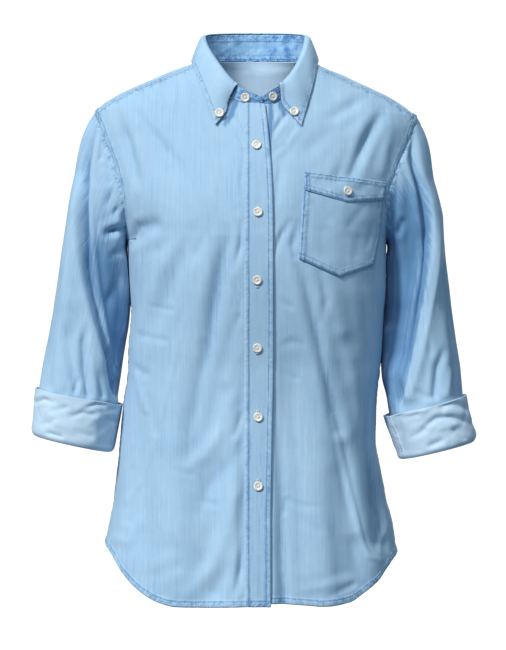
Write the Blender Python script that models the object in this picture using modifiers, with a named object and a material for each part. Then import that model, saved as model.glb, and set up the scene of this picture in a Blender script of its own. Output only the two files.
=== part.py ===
# Denim shirt, worn shape, long sleeves turned up.
# Axes: X to the wearer's left, -Y out of the chest, Z up. The origin lies
# between the two sides of the neck. Tables are in millimetres.
import bpy
import bmesh
import numpy as np
from math import sin, cos, pi, radians, sqrt
from mathutils import Vector, Matrix

for ob in list(bpy.data.objects):
    bpy.data.objects.remove(ob, do_unlink=True)

MM = 0.001
CLOTH = 1.2            # wall of the cloth
GAP = 0.32             # opening left at every seam
STACK = 1.75           # middle to middle of two cloths lying on each other
SEAM_DROP = 9.0        # front yoke seam, below the shoulder ridge
YOKE_BACK_Z = -95.0    # level of the back yoke seam
ARMPIT_Z = -218.0
TIP_X = 205.0          # shoulder tip, from the middle
BUTTON_R = 5.75
BUTTON_T = 2.2
HOLE_R = 0.8
HOLE_PITCH = 2.3

# level, half width to the wearer's right and left, depth in front and
# behind, and how square the section is
BODY = [
    # z, right, left, front, back, square
    (34, 8, 8, 36, 52, 2.0),
    (28, 36, 36, 38, 55, 2.0),
    (22, 53, 53, 41, 58, 2.0),
    (17, 62, 62, 43, 60, 2.0),
    (11, 72, 71, 45, 62, 2.0),
    (5, 88, 82, 48, 64, 2.0),
    (-5, 114, 105, 52, 68, 2.0),
    (-15, 137, 127, 57, 72, 2.0),
    (-25, 161, 150, 62, 76, 2.0),
    (-35, 181, 171, 67, 80, 2.0),
    (-45, 196, 187, 72, 84, 2.0),
    (-54, 205, 199, 76, 88, 2.0),
    (-60, 206.5, 205, 79, 90, 2.0),
    (-75, 207, 208, 86, 95, 2.0),
    (-90, 204, 205, 92, 100, 2.02),
    (-110, 200, 200, 99, 105, 2.05),
    (-130, 195, 195, 106, 109, 2.1),
    (-150, 189, 188, 112, 112, 2.15),
    (-175, 180, 179, 118, 115, 2.2),
    (-195, 171, 172, 121, 116, 2.25),
    (-207, 167, 168.5, 122, 116, 2.27),
    (-218, 164, 166, 123, 116, 2.3),
    (-250, 162, 165.5, 123, 115, 2.35),
    (-282, 160, 165, 121, 112, 2.35),
    (-307, 158.5, 162.5, 118, 109, 2.35),
    (-358, 162, 160, 111, 104, 2.35),
    (-384, 162.5, 157.5, 108, 102, 2.35),
    (-422, 168, 153.5, 107, 102, 2.3),
    (-474, 173, 152, 110, 106, 2.25),
    (-499, 175, 156, 112, 108, 2.2),
    (-525, 178, 161, 114, 111, 2.2),
    (-550, 181, 166, 116, 113, 2.2),
    (-576, 186, 173, 118, 115, 2.2),
    (-602, 191, 177, 120, 117, 2.2),
    (-640, 195, 181, 122, 119, 2.2),
    (-700, 198, 184, 124, 121, 2.2),
]
# armhole seam: level, distance from the middle
ARMHOLE = [
    # z, right, left
    (-54, 205, 205),
    (-60, 203.3, 205),
    (-78, 195.3, 198.6),
    (-100, 187.0, 188.5),
    (-122, 178.6, 179.3),
    (-143, 171.7, 170.5),
    (-163, 166.6, 164.8),
    (-190, 163.6, 163.2),
    (-207, 163.4, 164.2),
    (-218, 164, 166),
    (-700, 198, 184),
]
# placket's free edge and the under edge of the wearer's left front
PLACKET_EDGE = [(-48, 10.5), (-85, 14.5), (-120, 17.6), (-185, 20.3), (-330, 21.0), (-400, 20.5), (-460, 19.0), (-580, 17.5), (-690, 17.5)]
UNDER_EDGE = [(-48, 4.0), (-75, -2.0), (-110, -11.0), (-150, -12.0), (-690, -12.0)]
HEM_RIGHT = [(0.0, -672.0), (0.3, -673.6), (0.45, -673.4), (0.58, -669.0), (0.69, -659.8), (0.77, -649.4), (0.85, -634.7), (0.93, -615.5), (1.0, -605.0)]
HEM_LEFT = [(0.0, -668.5), (0.1, -669.0), (0.25, -671.0), (0.40, -673.0), (0.59, -669.0), (0.70, -658.8), (0.817, -644.7), (0.876, -633.0), (0.94, -622.5), (1.0, -617.5)]
# top line of each front: distance from the middle, level (None: yoke seam)
TOP_RIGHT = [(14, -50.5), (30, -44), (46, -31), (60, -13), (72, None), (95, None), (118, None), (141, None), (163, None), (183, None), (197, None), (205, None)]
TOP_LEFT = [(19.5, -50.0), (34, -43), (48, -30), (61, -12.5), (72, None), (95, None), (118, None), (141, None), (163, None), (183, None), (197, None), (205, None)]
# back of the neckline, from the centre: distance, level
NECK_BACK = [(0, 17.0), (26, 16.5), (50, 15.0), (66, 13.0), (70.5, None)]
# large folds of the body: start, end, half width, depth (minus: a ridge)
FOLDS_FRONT = [
    # x0, z0, x1, z1, width, depth
    (-168, -72, -146, -152, 9, 3.0),
    (-152, -58, -95, -150, 10, 2.5),
    (-158, -222, -118, -200, 9, 3.5),
    (-150, -95, -128, -185, 10, -2.0),
    (-62, -400, -60, -690, 20, 4.5),
    (-26, -430, -22, -690, 12, -4.0),
    (-104, -370, -100, -690, 20, -5.0),
    (-146, -430, -140, -640, 15, 4.0),
    (108, -68, 62, -112, 10, 2.0),
    (120, -90, 98, -150, 9, 2.5),
    (46, -340, 50, -690, 17, 4.5),
    (84, -330, 92, -690, 16, -4.5),
    (108, -480, 128, -640, 11, 4.0),
    (136, -400, 150, -640, 14, -4.0),
]
FOLDS_BACK = [
    (-70, -200, -62, -700, 24, 6.0),
    (-112, -300, -120, -680, 20, -5.0),
    (-22, -260, -20, -700, 20, -5.0),
    (26, -330, 30, -700, 18, 5.0),
    (72, -220, 78, -700, 22, -5.5),
    (118, -340, 122, -660, 18, 5.0),
    (-150, -225, -90, -180, 12, 4.0),
    (150, -228, 96, -186, 12, 4.0),
]
# sleeve centre line and section: centre, half width, half depth, tilt
SLEEVE_RIGHT = [
    # x, y, z, half_w, half_d, tilt
    (-206.5, 12, -262, 44, 60, 8),
    (-211, 12, -310, 49, 58, 9),
    (-219.5, 6, -360, 50, 56.5, 9),
    (-225, 0, -400, 49.5, 55, 10),
    (-229.5, -6, -440, 48.5, 53, 11),
    (-233, -9, -469, 48, 52, 12),
]
SLEEVE_LEFT = [
    (207.5, 14, -262, 39.5, 60, 6),
    (209.5, 14, -298, 42.5, 59, 8),
    (211.5, 8, -346, 47, 57, 9),
    (214.5, 0, -397, 49.5, 55, 12),
    (219.5, -7, -440, 48, 53, 14),
    (228.5, -11, -475, 46.5, 51.5, 15),
]
# turned-up cuffs: top edge ring and bottom ring
CUFF_RIGHT = [(-225.7, -3, -416.5, 56.5, 61, 10.7), (-233.6, -9, -473.5, 53, 57, 12.5)]
CUFF_LEFT = [(215.4, -5, -428.4, 53.9, 60, 14.4), (231, -11, -482, 50.7, 56, 13.7)]
# folds of the sleeves: angle round (0 outside, 90 front), level, both ends
FOLDS_SLEEVE_RIGHT = [
    # a0, z0, a1, z1, width, depth
    (55, -190, 118, -335, 10, 6.0),
    (118, -335, 140, -400, 9, 4.0),
    (30, -150, 62, -330, 14, -4.0),
    (62, -330, 95, -405, 9, 4.0),
    (-60, -200, -125, -340, 12, 5.0),
    (-95, -320, -60, -410, 11, -4.0),
    (150, -260, 120, -300, 9, 3.0),
]
FOLDS_SLEEVE_LEFT = [
    (75, -205, 115, -290, 11, 5.5),
    (115, -290, 135, -375, 10, 5.0),
    (50, -180, 92, -400, 12, -4.5),
    (35, -250, 30, -345, 9, 4.5),
    (-60, -210, -120, -350, 12, 5.0),
    (-100, -330, -62, -420, 11, -4.0),
]
# collar fold line, one row for each neckline point from the front:
# x, y, z of the top of the stand
FOLD_LINE_RIGHT = [(8.5, -78.4, -42.5), (-4.5, -78.2, -36.5), (-15, -77.6, -32.5), (-27, -73, -24), (-41, -60.5, -7), (-53, -43.5, 11), (-62, -22, 28), (-65.5, -2, 39.5), (-63.5, 16, 45), (-49, 38, 49.5), (-26, 50, 51.5)]
FOLD_LINE_MID = (-1, 54, 52)
FOLD_LINE_LEFT = [(6.5, -75.0, -41.5), (21, -75.6, -32), (33, -71.5, -24), (45.5, -60.5, -9), (55.5, -44, 10), (61.5, -22, 28), (63.5, -2, 39.5), (62, 16, 45), (48, 38, 49.5), (25, 50, 51.5)]
# outer edge of the collar, from the point to the back; y None: on the front
LEAF_RIGHT = [(-50.5, None, -77), (-57, None, -58), (-64.5, None, -37), (-72, None, -17), (-79, None, 2), (-82, 0, 11.5), (-80, 28, 9), (-62, 55, 6), (-34, 70, 6)]
LEAF_MID = (-1, 75, 6.5)
LEAF_LEFT = [(56.4, None, -78), (62, None, -58), (68, None, -37), (73.5, None, -16), (77.5, None, 2), (79.5, 0, 12.5), (78, 28, 9), (61, 55, 6), (33, 70, 6)]
# free front edge of the collar, from the fold to the point: x, z, off
POINT_EDGE_RIGHT = [(-22.6, -26.0, 0.6), (-23.6, -25.6, 2.6), (-32.5, -40.0, 4.2), (-36.6, -57.5, 4.0), (-50.5, -77.0, 2.8)]
POINT_EDGE_LEFT = [(29.0, -26.0, 0.6), (29.6, -25.4, 2.6), (31.2, -41.0, 4.2), (38.0, -57.5, 4.0), (56.4, -78.0, 2.8)]
# pocket and flap corners on the wearer's left front
POCKET = dict(tl=(58.8, -150.2), tr=(157.0, -157.6), rm=(153.7, -208.0), br=(144.6, -251.3), pt=(102.0, -266.1), bl=(53.0, -244.7))
FLAP = dict(tl=(59.1, -138.3), tr=(160.6, -147.6), br=(156.5, -168.7), pt=(110.5, -174.3), bl=(60.1, -160.4))
PLACKET_BUTTONS = [(0.5, -105.0), (2.2, -188.0), (1.1, -270.4), (1.6, -353.5), (2.5, -439.7), (2.5, -524.6)]
FLAP_BUTTON = (111.0, -161.0)

# how finely the surfaces are divided
ROWS_ARM, ROWS_LOW = 8, 11
ROWS_YOKE, ROWS_BACK = 6, 6
RINGS_CAP, RINGS_TUBE = 5, 7


# ---------------------------------------------------------------- curves
class Curve:
    """Smooth curve through table rows that never overshoots them."""

    def __init__(self, xs, ys):
        xs, ys = np.array(xs, float), np.array(ys, float)
        order = np.argsort(xs)
        self.x, self.y = xs[order], ys[order]
        h = np.diff(self.x)
        d = np.diff(self.y) / h
        m = np.zeros(len(self.x))
        m[0], m[-1] = d[0], d[-1]
        for i in range(1, len(d)):
            if d[i - 1] * d[i] > 0:
                w1, w2 = 2 * h[i] + h[i - 1], h[i] + 2 * h[i - 1]
                m[i] = (w1 + w2) / (w1 / d[i - 1] + w2 / d[i])
        self.m = m

    def __call__(self, q):
        q = np.asarray(q, float)
        qc = np.clip(q, self.x[0], self.x[-1])
        i = np.clip(np.searchsorted(self.x, qc, side='right') - 1, 0, len(self.x) - 2)
        h = self.x[i + 1] - self.x[i]
        t = (qc - self.x[i]) / h
        t2, t3 = t * t, t * t * t
        return ((2 * t3 - 3 * t2 + 1) * self.y[i] + (t3 - 2 * t2 + t) * h * self.m[i]
                + (-2 * t3 + 3 * t2) * self.y[i + 1] + (t3 - t2) * h * self.m[i + 1])


def column(table, a, b):
    return Curve([r[a] for r in table], [r[b] for r in table])


def smooth(t):
    t = np.clip(t, 0.0, 1.0)
    return t * t * (3 - 2 * t)


out_r, out_l = column(BODY, 0, 1), column(BODY, 0, 2)
depth_f, depth_b, square = column(BODY, 0, 3), column(BODY, 0, 4), column(BODY, 0, 5)
arm_r, arm_l = column(ARMHOLE, 0, 1), column(ARMHOLE, 0, 2)
placket_edge, under_edge = Curve(*zip(*PLACKET_EDGE)), Curve(*zip(*UNDER_EDGE))
hem_r, hem_l = Curve(*zip(*HEM_RIGHT)), Curve(*zip(*HEM_LEFT))

_zs = np.linspace(34.0, -54.0, 1800)
_zl = np.linspace(34.0, -60.0, 1800)
RIDGE_R = (out_r(_zs), _zs)
RIDGE_L = (out_l(_zl), _zl)


def ridge(side, x):
    """Level of the shoulder ridge at a distance x from the middle."""
    xs, zs = RIDGE_R if side < 0 else RIDGE_L
    return np.interp(np.abs(x), xs, zs)


def outline(side, z):
    return out_r(z) if side < 0 else out_l(z)


def armhole(side, z, back=False):
    """Distance of the armhole seam, or of the side seam below it."""
    z = np.asarray(z, float)
    x = arm_r(z) if side < 0 else arm_l(z)
    if back:
        t = np.clip((-60.0 - z) / (-60.0 - ARMPIT_Z), 0, 1)
        x = x + 4.5 * np.sin(pi * t) * (1 - 0.4 * t)
    return np.where(z < ARMPIT_Z, outline(side, z), x)


def section(z):
    l, r = out_r(z), out_l(z)
    return (r - l) / 2, (r + l) / 2


def body_y(front, x, z):
    c, a = section(z)
    n = square(z)
    q = np.clip(1 - np.clip(np.abs((x - c) / a), 0, 1) ** n, 0, 1) ** (1 / n)
    return -depth_f(z) * q if front else depth_b(z) * q


def level_set(x, y, z):
    c, a = section(z)
    n = square(z)
    d = np.where(y < 0, depth_f(z), depth_b(z))
    return np.abs((x - c) / a) ** n + np.abs(y / d) ** n - 1


def body_normal(x, y, z):
    e = 0.4
    g = np.stack([level_set(x + e, y, z) - level_set(x - e, y, z),
                  level_set(x, y + e, z) - level_set(x, y - e, z),
                  level_set(x, y, z + e) - level_set(x, y, z - e)], -1)
    return g / np.maximum(np.linalg.norm(g, axis=-1, keepdims=True), 1e-12)


def fold_sum(folds, x, z, scale=1.0):
    """Depth of the folds at a point: troughs with soft sides and ends."""
    total = np.zeros(np.broadcast(x, z).shape)
    for x0, z0, x1, z1, width, depth in folds:
        dx, dz = x1 - x0, z1 - z0
        length = sqrt(dx * dx + dz * dz)
        t = ((x - x0) * dx + (z - z0) * dz) / length ** 2
        off = ((x - x0) * dz - (z - z0) * dx) / length
        end = smooth((t + 0.15) / 0.35) * smooth((1.15 - t) / 0.35)
        total = total + depth * end * np.exp(-(off / (width * scale)) ** 2)
    return total


def lap(x):
    """The wearer's right front lies over the left one."""
    return (STACK + 0.1) * smooth((x + 46.0) / 31.0)


def front_point(side, x, z, folds=True):
    """Point and normal of a front panel, at a distance x and level z."""
    y = body_y(True, x, z)
    n = body_normal(x, y, z)
    p = np.stack([x, y, z], -1)
    if side < 0:
        p = p + n * lap(x)[..., None]
    if folds:
        near = smooth((armhole(side, z) - np.abs(x)) / 22.0)
        flat = smooth((np.abs(x - 3.0) - 16.0) / 16.0)
        top = smooth((-58.0 - z) / 40.0)
        p = p - n * (fold_sum(FOLDS_FRONT, x, z) * near * flat * top)[..., None]
    return p, n


def back_point(x, z):
    y = body_y(False, x, z)
    n = body_normal(x, y, z)
    side = np.where(x < 0, -1, 1)
    edge = np.where(x < 0, armhole(-1, z, True), armhole(1, z, True))
    near = smooth((edge - np.abs(x)) / 22.0) * smooth((YOKE_BACK_Z - 12 - z) / 50.0)
    p = np.stack([x, y, z], -1) - n * (fold_sum(FOLDS_BACK, x, z) * near)[..., None]
    return p, n


# ---------------------------------------------------------------- panels
def arm_levels(side, z_top, rows, back=False):
    """Levels that divide the armhole evenly between z_top and the armpit."""
    z = ARMPIT_Z + (z_top - ARMPIT_Z) * np.linspace(1, 0, 900) ** 2
    x = side * armhole(side, z, back)
    y = body_y(not back, x, z)
    y[-1] = 0.0
    p = np.stack([x, y, z], -1)
    run = np.concatenate([[0], np.cumsum(np.linalg.norm(np.diff(p, axis=0), axis=1))])
    return np.interp(np.linspace(0, run[-1], rows + 1), run, z)


def front_grid(side, sub=1):
    top = TOP_RIGHT if side < 0 else TOP_LEFT
    hem = hem_r if side < 0 else hem_l
    last = len(top) - 1
    base = np.arange(last + 1)
    top_x = Curve(base, [t[0] for t in top])
    levels = [t[1] if t[1] is not None else float(ridge(side, t[0])) - SEAM_DROP for t in top]
    neck_n = sum(1 for t in top if t[1] is not None)
    neck_z = Curve(base[:neck_n + 1], levels[:neck_n + 1])
    edge = top[0][0]
    cols = np.linspace(0, last, last * sub + 1)
    rows_a, rows_l = ROWS_ARM * sub, ROWS_LOW * sub
    z_side = arm_levels(side, float(ridge(side, TIP_X)) - SEAM_DROP, rows_a)
    share = (z_side[0] - z_side) / (z_side[0] - z_side[-1])

    def x_at(c, z):
        g_top = (top_x(c) - edge) / (TIP_X - edge)
        g_low = np.sin(radians(90) * c / last)
        g = g_top + (g_low - g_top) * smooth((-58.0 - z) / 158.0)
        return edge + (np.where(z > -54.0, TIP_X, armhole(side, z)) - edge) * g

    xs, zs = [], []
    for c in cols:
        if c < neck_n:
            z0 = float(neck_z(c))
        else:
            z0 = float(ridge(side, top_x(c))) - SEAM_DROP
        if c >= last - 1e-9:
            z0 = z_side[0]
        g = c / last
        f = np.linspace(0, 1, rows_a + 1)
        f = f + (share - f) * g ** 3
        z = list(z0 + (ARMPIT_Z - z0) * f)
        z += list(ARMPIT_Z + (float(hem(sin(radians(90) * g))) - ARMPIT_Z) * np.linspace(0, 1, rows_l + 1)[1:])
        z = np.array(z)
        xs.append(side * x_at(np.full_like(z, c), z))
        zs.append(z)
    # the two columns under the placket
    extra = 2 * sub
    first_z = zs[0]
    for k in range(1, extra + 1):
        t = k / extra
        z0 = first_z[0] + (-51.8 - first_z[0]) * t
        z = first_z.copy()
        z[:rows_a + 1] = z0 + (ARMPIT_Z - z0) * np.linspace(0, 1, rows_a + 1)
        end = placket_edge(z) if side < 0 else under_edge(z)
        xs.insert(0, side * edge + (end - side * edge) * t)
        zs.insert(0, z)
    return np.array(xs).T, np.array(zs).T, rows_a


def back_grid(sub=1):
    n = 12 * sub
    rows_a, rows_l = ROWS_BACK * sub, ROWS_LOW * sub
    cols = np.arange(-n, n + 1) / n
    xs, zs = [], []
    for f in cols:
        side = -1 if f < 0 else 1
        z_side = arm_levels(side, YOKE_BACK_Z, rows_a, True)
        share = (z_side[0] - z_side) / (z_side[0] - z_side[-1])
        u = np.linspace(0, 1, rows_a + 1)
        u = u + (share - u) * abs(f) ** 3
        z = list(YOKE_BACK_Z + (ARMPIT_Z - YOKE_BACK_Z) * u)
        low = np.sin(radians(90) * abs(f))
        hem = float(hem_r(low) if f < 0 else hem_l(low))
        mid = 0.5 * float(hem_r(0.0) + hem_l(0.0))
        hem = mid + (hem - mid) * float(smooth(abs(f) / 0.25))
        z += list(ARMPIT_Z + (hem - ARMPIT_Z) * np.linspace(0, 1, rows_l + 1)[1:])
        z = np.array(z)
        g = abs(f) + (low - abs(f)) * smooth((YOKE_BACK_Z - z) / 120.0)
        xs.append(side * g * armhole(side, z, True))
        zs.append(z)
    return np.array(xs).T, np.array(zs).T, rows_a


def yoke_grid(sub=1):
    """Points and normals over the shoulders: front seam, ridge, back seam."""
    half = [(x, z) for x, z in NECK_BACK]
    side_cols = [t[0] for t in TOP_RIGHT if t[1] is None]
    count = len(half) - 1 + len(side_cols)
    n = count * sub
    rows = ROWS_YOKE * sub
    px = [h[0] for h in half] + side_cols
    top_x = Curve(range(len(px)), px)
    pts, nor = [], []
    for i in range(-n, n + 1):
        c = abs(i) / sub
        side = -1 if i < 0 else 1
        x_t = float(top_x(c))
        drops = []
        for k, (hx, hz) in enumerate(half):
            drops.append(sqrt(float(ridge(side, hx)) - hz) if hz is not None else 0.0)
        drops += [-sqrt(SEAM_DROP)] * len(side_cols)
        s0 = float(Curve(range(len(drops)), drops)(c)) if c > len(half) - 1 else float(Curve(range(len(half)), drops[:len(half)])(c))
        f_t, f_b = x_t / TIP_X, c / count
        s1 = sqrt(float(ridge(side, f_b * TIP_X)) - YOKE_BACK_Z)
        u = np.linspace(0, 1, rows + 1)
        f = f_t + (f_b - f_t) * smooth(u)
        s = s0 + (s1 - s0) * u
        z = ridge(side, f * TIP_X) - s * s
        x = side * f * np.where(s < 0, armhole(side, np.minimum(z, -54.0)), armhole(side, np.minimum(z, -54.0), True))
        y = np.where(s < 0, body_y(True, x, z), body_y(False, x, z))
        on = np.abs(s) < 1e-9
        y = np.where(on, 0.0, y)
        pts.append(np.stack([x, y, z], -1))
        nor.append(body_normal(x, y, z))
    return np.array(pts).transpose(1, 0, 2), np.array(nor).transpose(1, 0, 2)


def unit(v):
    return v / np.maximum(np.linalg.norm(v, axis=-1, keepdims=True), 1e-12)


def pull_in(p, n, top=False, bottom=False, left=False, right=False, by=GAP / 2):
    """Move a panel's border back from the seam, along the cloth."""
    q = p.copy()
    for name, on in (('top', top), ('bottom', bottom), ('left', left), ('right', right)):
        if not on:
            continue
        if name in ('top', 'bottom'):
            r, inner = (0, 1) if name == 'top' else (-1, -2)
            edge, inside, nn = p[r], p[inner], n[r]
        else:
            r, inner = (0, 1) if name == 'left' else (-1, -2)
            edge, inside, nn = p[:, r], p[:, inner], n[:, r]
        tangent = np.gradient(edge, axis=0)
        d = unit(np.cross(unit(nn), tangent))
        flip = np.sign(np.sum(d * (inside - edge), -1, keepdims=True))
        d = d * np.where(flip == 0, 1, flip)
        if name in ('top', 'bottom'):
            q[r] = q[r] + d * by
        else:
            q[:, r] = q[:, r] + d * by
    return q


def tube_ring(row, side, angles, grow=0.0):
    x, y, z, hw, hd, tilt = row
    e1 = np.array([side * cos(radians(tilt)), 0, sin(radians(tilt))])
    e2 = np.array([0, -1.0, 0])
    c, s = np.cos(angles), np.sin(angles)
    k = 2 / 2.25
    c, s = np.sign(c) * np.abs(c) ** k, np.sign(s) * np.abs(s) ** k
    return np.array([x, y, z]) + np.outer(c * (hw + grow), e1) + np.outer(s * (hd + grow), e2)


def clear_body(side, p, gap, start):
    """Keep a sleeve point just clear of the side of the body."""
    q = p.copy()
    x, y, z = p[..., 0], p[..., 1], p[..., 2]
    zz = np.minimum(z, ARMPIT_Z)
    c, a = section(zz)
    n = square(zz)
    d = np.where(y < 0, depth_f(zz), depth_b(zz))
    r = np.clip(1 - np.clip(np.abs(y) / d, 0, 1) ** n, 0, 1) ** (1 / n)
    wall = side * c + a * r
    need = wall + gap * smooth((start - z) / 14.0)
    have = side * x
    soft = 3.0
    t = np.clip((have - need) / soft, -1.0, 1.0)
    pushed = np.where(have - need < -soft, need, np.where(have - need > soft, have, need + soft * (t + 1) ** 2 / 4))
    live = smooth((start + 1.0 - z) / 6.0)
    q[..., 0] = side * (have + (np.maximum(pushed, have) - have) * live)
    return q


def sleeve_surface(side, loop, angles, sub=1, folds=True):
    table = SLEEVE_RIGHT if side < 0 else SLEEVE_LEFT
    rows = [column([(i,) + r for i, r in enumerate(table)], 0, k + 1) for k in range(6)]
    at = lambda t: tuple(float(f(t)) for f in rows)
    first = tube_ring(at(0), side, angles)
    down = unit(tube_ring(at(0.05), side, angles) - first)
    chord = np.linalg.norm(first - loop, axis=1)
    turn = (1 - np.cos(angles)) / 2              # 0 outside, 1 under the arm
    start = unit(np.stack([side * (0.62 + 0.38 * turn), -0.18 * np.sin(angles), -0.80 * (1 - turn) - 0.05], -1))
    h0 = chord * (0.30 - 0.22 * turn)
    h1 = chord * (0.42 - 0.12 * turn)
    n_cap, n_tube = RINGS_CAP * sub, RINGS_TUBE * sub
    rings = []
    for i in range(n_cap + 1):
        t = (i / n_cap) ** 1.15
        b0, b1, b2, b3 = (1 - t) ** 3, 3 * t * (1 - t) ** 2, 3 * t * t * (1 - t), t ** 3
        rings.append(b0 * loop + b1 * (loop + start * h0[:, None]) + b2 * (first - down * h1[:, None]) + b3 * first)
    for i in range(1, n_tube + 1):
        rings.append(tube_ring(at((len(table) - 1) * i / n_tube), side, angles))
    p = np.array(rings)
    q = p.copy()
    q[1:] = clear_body(side, p[1:], 2.3, ARMPIT_Z)
    n = ring_normals(q, side)
    if folds:
        deg = np.degrees(angles)[None, :]
        table_f = FOLDS_SLEEVE_RIGHT if side < 0 else FOLDS_SLEEVE_LEFT
        total = np.zeros(q.shape[:2])
        for a0, z0, a1, z1, width, depth in table_f:
            # angles become lengths round a sleeve of about 54 mm radius
            total = total + fold_sum([(a0 * 0.94, z0, a1 * 0.94, z1, width, depth)], deg * 0.94, q[..., 2])
        away = smooth((side * q[..., 0] - (outline(side, np.minimum(q[..., 2], ARMPIT_Z)) + 5)) / 18.0)
        ends = smooth(np.arange(len(q)) / (2.0 * sub))[:, None] * smooth((len(q) - 1 - np.arange(len(q))) / (2.0 * sub))[:, None]
        q = q - n * (total * away * ends)[..., None]
    return q, n


def ring_normals(p, side):
    along = np.gradient(p, axis=0)
    around = (np.roll(p, -1, axis=1) - np.roll(p, 1, axis=1))
    n = unit(np.cross(along, around))
    centre = p.mean(axis=1, keepdims=True)
    flip = np.sign(np.sum(n * (p - centre), -1).sum(axis=1, keepdims=True))[..., None]
    return n * np.where(flip == 0, 1, flip)


# ---------------------------------------------------------------- solids
shirt = bpy.data.collections.new('denim_shirt')
bpy.context.scene.collection.children.link(shirt)
tools = bpy.data.collections.new('cutters')
bpy.context.scene.collection.children.link(tools)
root = bpy.data.objects.new('denim_shirt_root', None)
shirt.objects.link(root)

COLOURS = {
    'denim': ((0.30, 0.50, 0.72, 1), 0.85),
    'denim_wrong_side': ((0.46, 0.62, 0.80, 1), 0.88),
    'button': ((0.86, 0.84, 0.78, 1), 0.30),
}


def material(node, slot):
    m = bpy.data.materials.new('%s_%s' % (slot, node))
    m.use_nodes = True
    b = m.node_tree.nodes['Principled BSDF']
    b.inputs['Base Color'].default_value = COLOURS[slot][0]
    b.inputs['Roughness'].default_value = COLOURS[slot][1]
    b.inputs['Metallic'].default_value = 0.0
    m.diffuse_color = COLOURS[slot][0]
    return m


def place(name, mesh, slot, smooth_faces=True):
    ob = bpy.data.objects.new(name, mesh)
    shirt.objects.link(ob)
    ob.parent = root
    ob.data.materials.append(material(name, slot))
    if smooth_faces:
        for f in mesh.polygons:
            f.use_smooth = True
    return ob


def wall(name, p, off, slot, closed=False):
    """Cloth between p + off and p - off, shared rims on every free side."""
    rows, cols = p.shape[:2]
    outer, inner = (p + off) * MM, (p - off) * MM
    verts = [tuple(v) for v in outer.reshape(-1, 3)] + [tuple(v) for v in inner.reshape(-1, 3)]
    half = rows * cols
    o = lambda r, c: r * cols + (c % cols)
    i = lambda r, c: half + r * cols + (c % cols)
    faces = []
    wide = cols if closed else cols - 1
    for r in range(rows - 1):
        for c in range(wide):
            a, b, d, e = (r, c), (r, c + 1), (r + 1, c), (r + 1, c + 1)
            d1 = np.linalg.norm(p[a[0], a[1] % cols] - p[e[0], e[1] % cols])
            d2 = np.linalg.norm(p[b[0], b[1] % cols] - p[d[0], d[1] % cols])
            if d1 <= d2:
                tris = ((a, d, e), (a, e, b))
            else:
                tris = ((a, d, b), (b, d, e))
            for t in tris:
                faces.append([o(*v) for v in t])
                faces.append([i(*v) for v in reversed(t)])
    for c in range(wide):
        faces.append([o(0, c), o(0, c + 1), i(0, c)])
        faces.append([o(0, c + 1), i(0, c + 1), i(0, c)])
        faces.append([o(rows - 1, c), i(rows - 1, c), o(rows - 1, c + 1)])
        faces.append([o(rows - 1, c + 1), i(rows - 1, c), i(rows - 1, c + 1)])
    if not closed:
        for r in range(rows - 1):
            faces.append([o(r, 0), i(r, 0), o(r + 1, 0)])
            faces.append([o(r + 1, 0), i(r, 0), i(r + 1, 0)])
            e = cols - 1
            faces.append([o(r, e), o(r + 1, e), i(r, e)])
            faces.append([o(r + 1, e), i(r + 1, e), i(r, e)])
    mesh = bpy.data.meshes.new(name)
    mesh.from_pydata(verts, [], faces)
    bm = bmesh.new()
    bm.from_mesh(mesh)
    bmesh.ops.recalc_face_normals(bm, faces=bm.faces)
    if bm.calc_volume(signed=True) < 0:
        bmesh.ops.reverse_faces(bm, faces=bm.faces)
    bm.to_mesh(mesh)
    bm.free()
    mesh.update()
    return place(name, mesh, slot)


def sheet(name, p, slot, thickness=CLOTH):
    """Open surface of a strip or patch, made solid by Solidify."""
    rows, cols = p.shape[:2]
    verts = [tuple(v * MM) for v in p.reshape(-1, 3)]
    faces = []
    for r in range(rows - 1):
        for c in range(cols - 1):
            a, b, d, e = r * cols + c, r * cols + c + 1, (r + 1) * cols + c, (r + 1) * cols + c + 1
            if np.linalg.norm(p[r, c] - p[r + 1, c + 1]) <= np.linalg.norm(p[r, c + 1] - p[r + 1, c]):
                faces += [(a, d, e), (a, e, b)]
            else:
                faces += [(a, d, b), (b, d, e)]
    mesh = bpy.data.meshes.new(name)
    mesh.from_pydata(verts, [], faces)
    mesh.update()
    ob = place(name, mesh, slot)
    mod = ob.modifiers.new('cloth', 'SOLIDIFY')
    mod.thickness = thickness * MM
    mod.offset = 0.0
    mod.use_even_offset = True
    return ob


# body panels
HALF = CLOTH / 2
grids = {}
for side, name in ((-1, 'front_right'), (1, 'front_left')):
    gx, gz, arm_rows = front_grid(side)
    p, n = front_point(side, gx, gz)
    p[:, -1, 1] = np.where(gz[:, -1] <= ARMPIT_Z + 1e-6, 0.0, p[:, -1, 1])
    grids[name] = [p, n, arm_rows]
gx, gz, arm_rows = back_grid()
p, n = back_point(gx, gz)
for c in (0, -1):
    low = gz[:, c] <= ARMPIT_Z + 1e-6
    p[low, c, 1] = 0.0
grids['back'] = [p, n, arm_rows]
yp, yn = yoke_grid()
grids['yoke'] = [yp, yn, 0]

# the side seam has one normal for front and back
for side, name in ((-1, 'front_right'), (1, 'front_left')):
    fp, fn, fa = grids[name]
    bp, bn, ba = grids['back']
    col = 0 if side < 0 else -1
    for k in range(ROWS_LOW + 1):
        m = unit(fn[fa + k, -1] + bn[ba + k, col])
        fn[fa + k, -1] = m
        bn[ba + k, col] = m
        mid = (fp[fa + k, -1] + bp[ba + k, col]) / 2
        fp[fa + k, -1] = mid
        bp[ba + k, col] = mid

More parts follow.
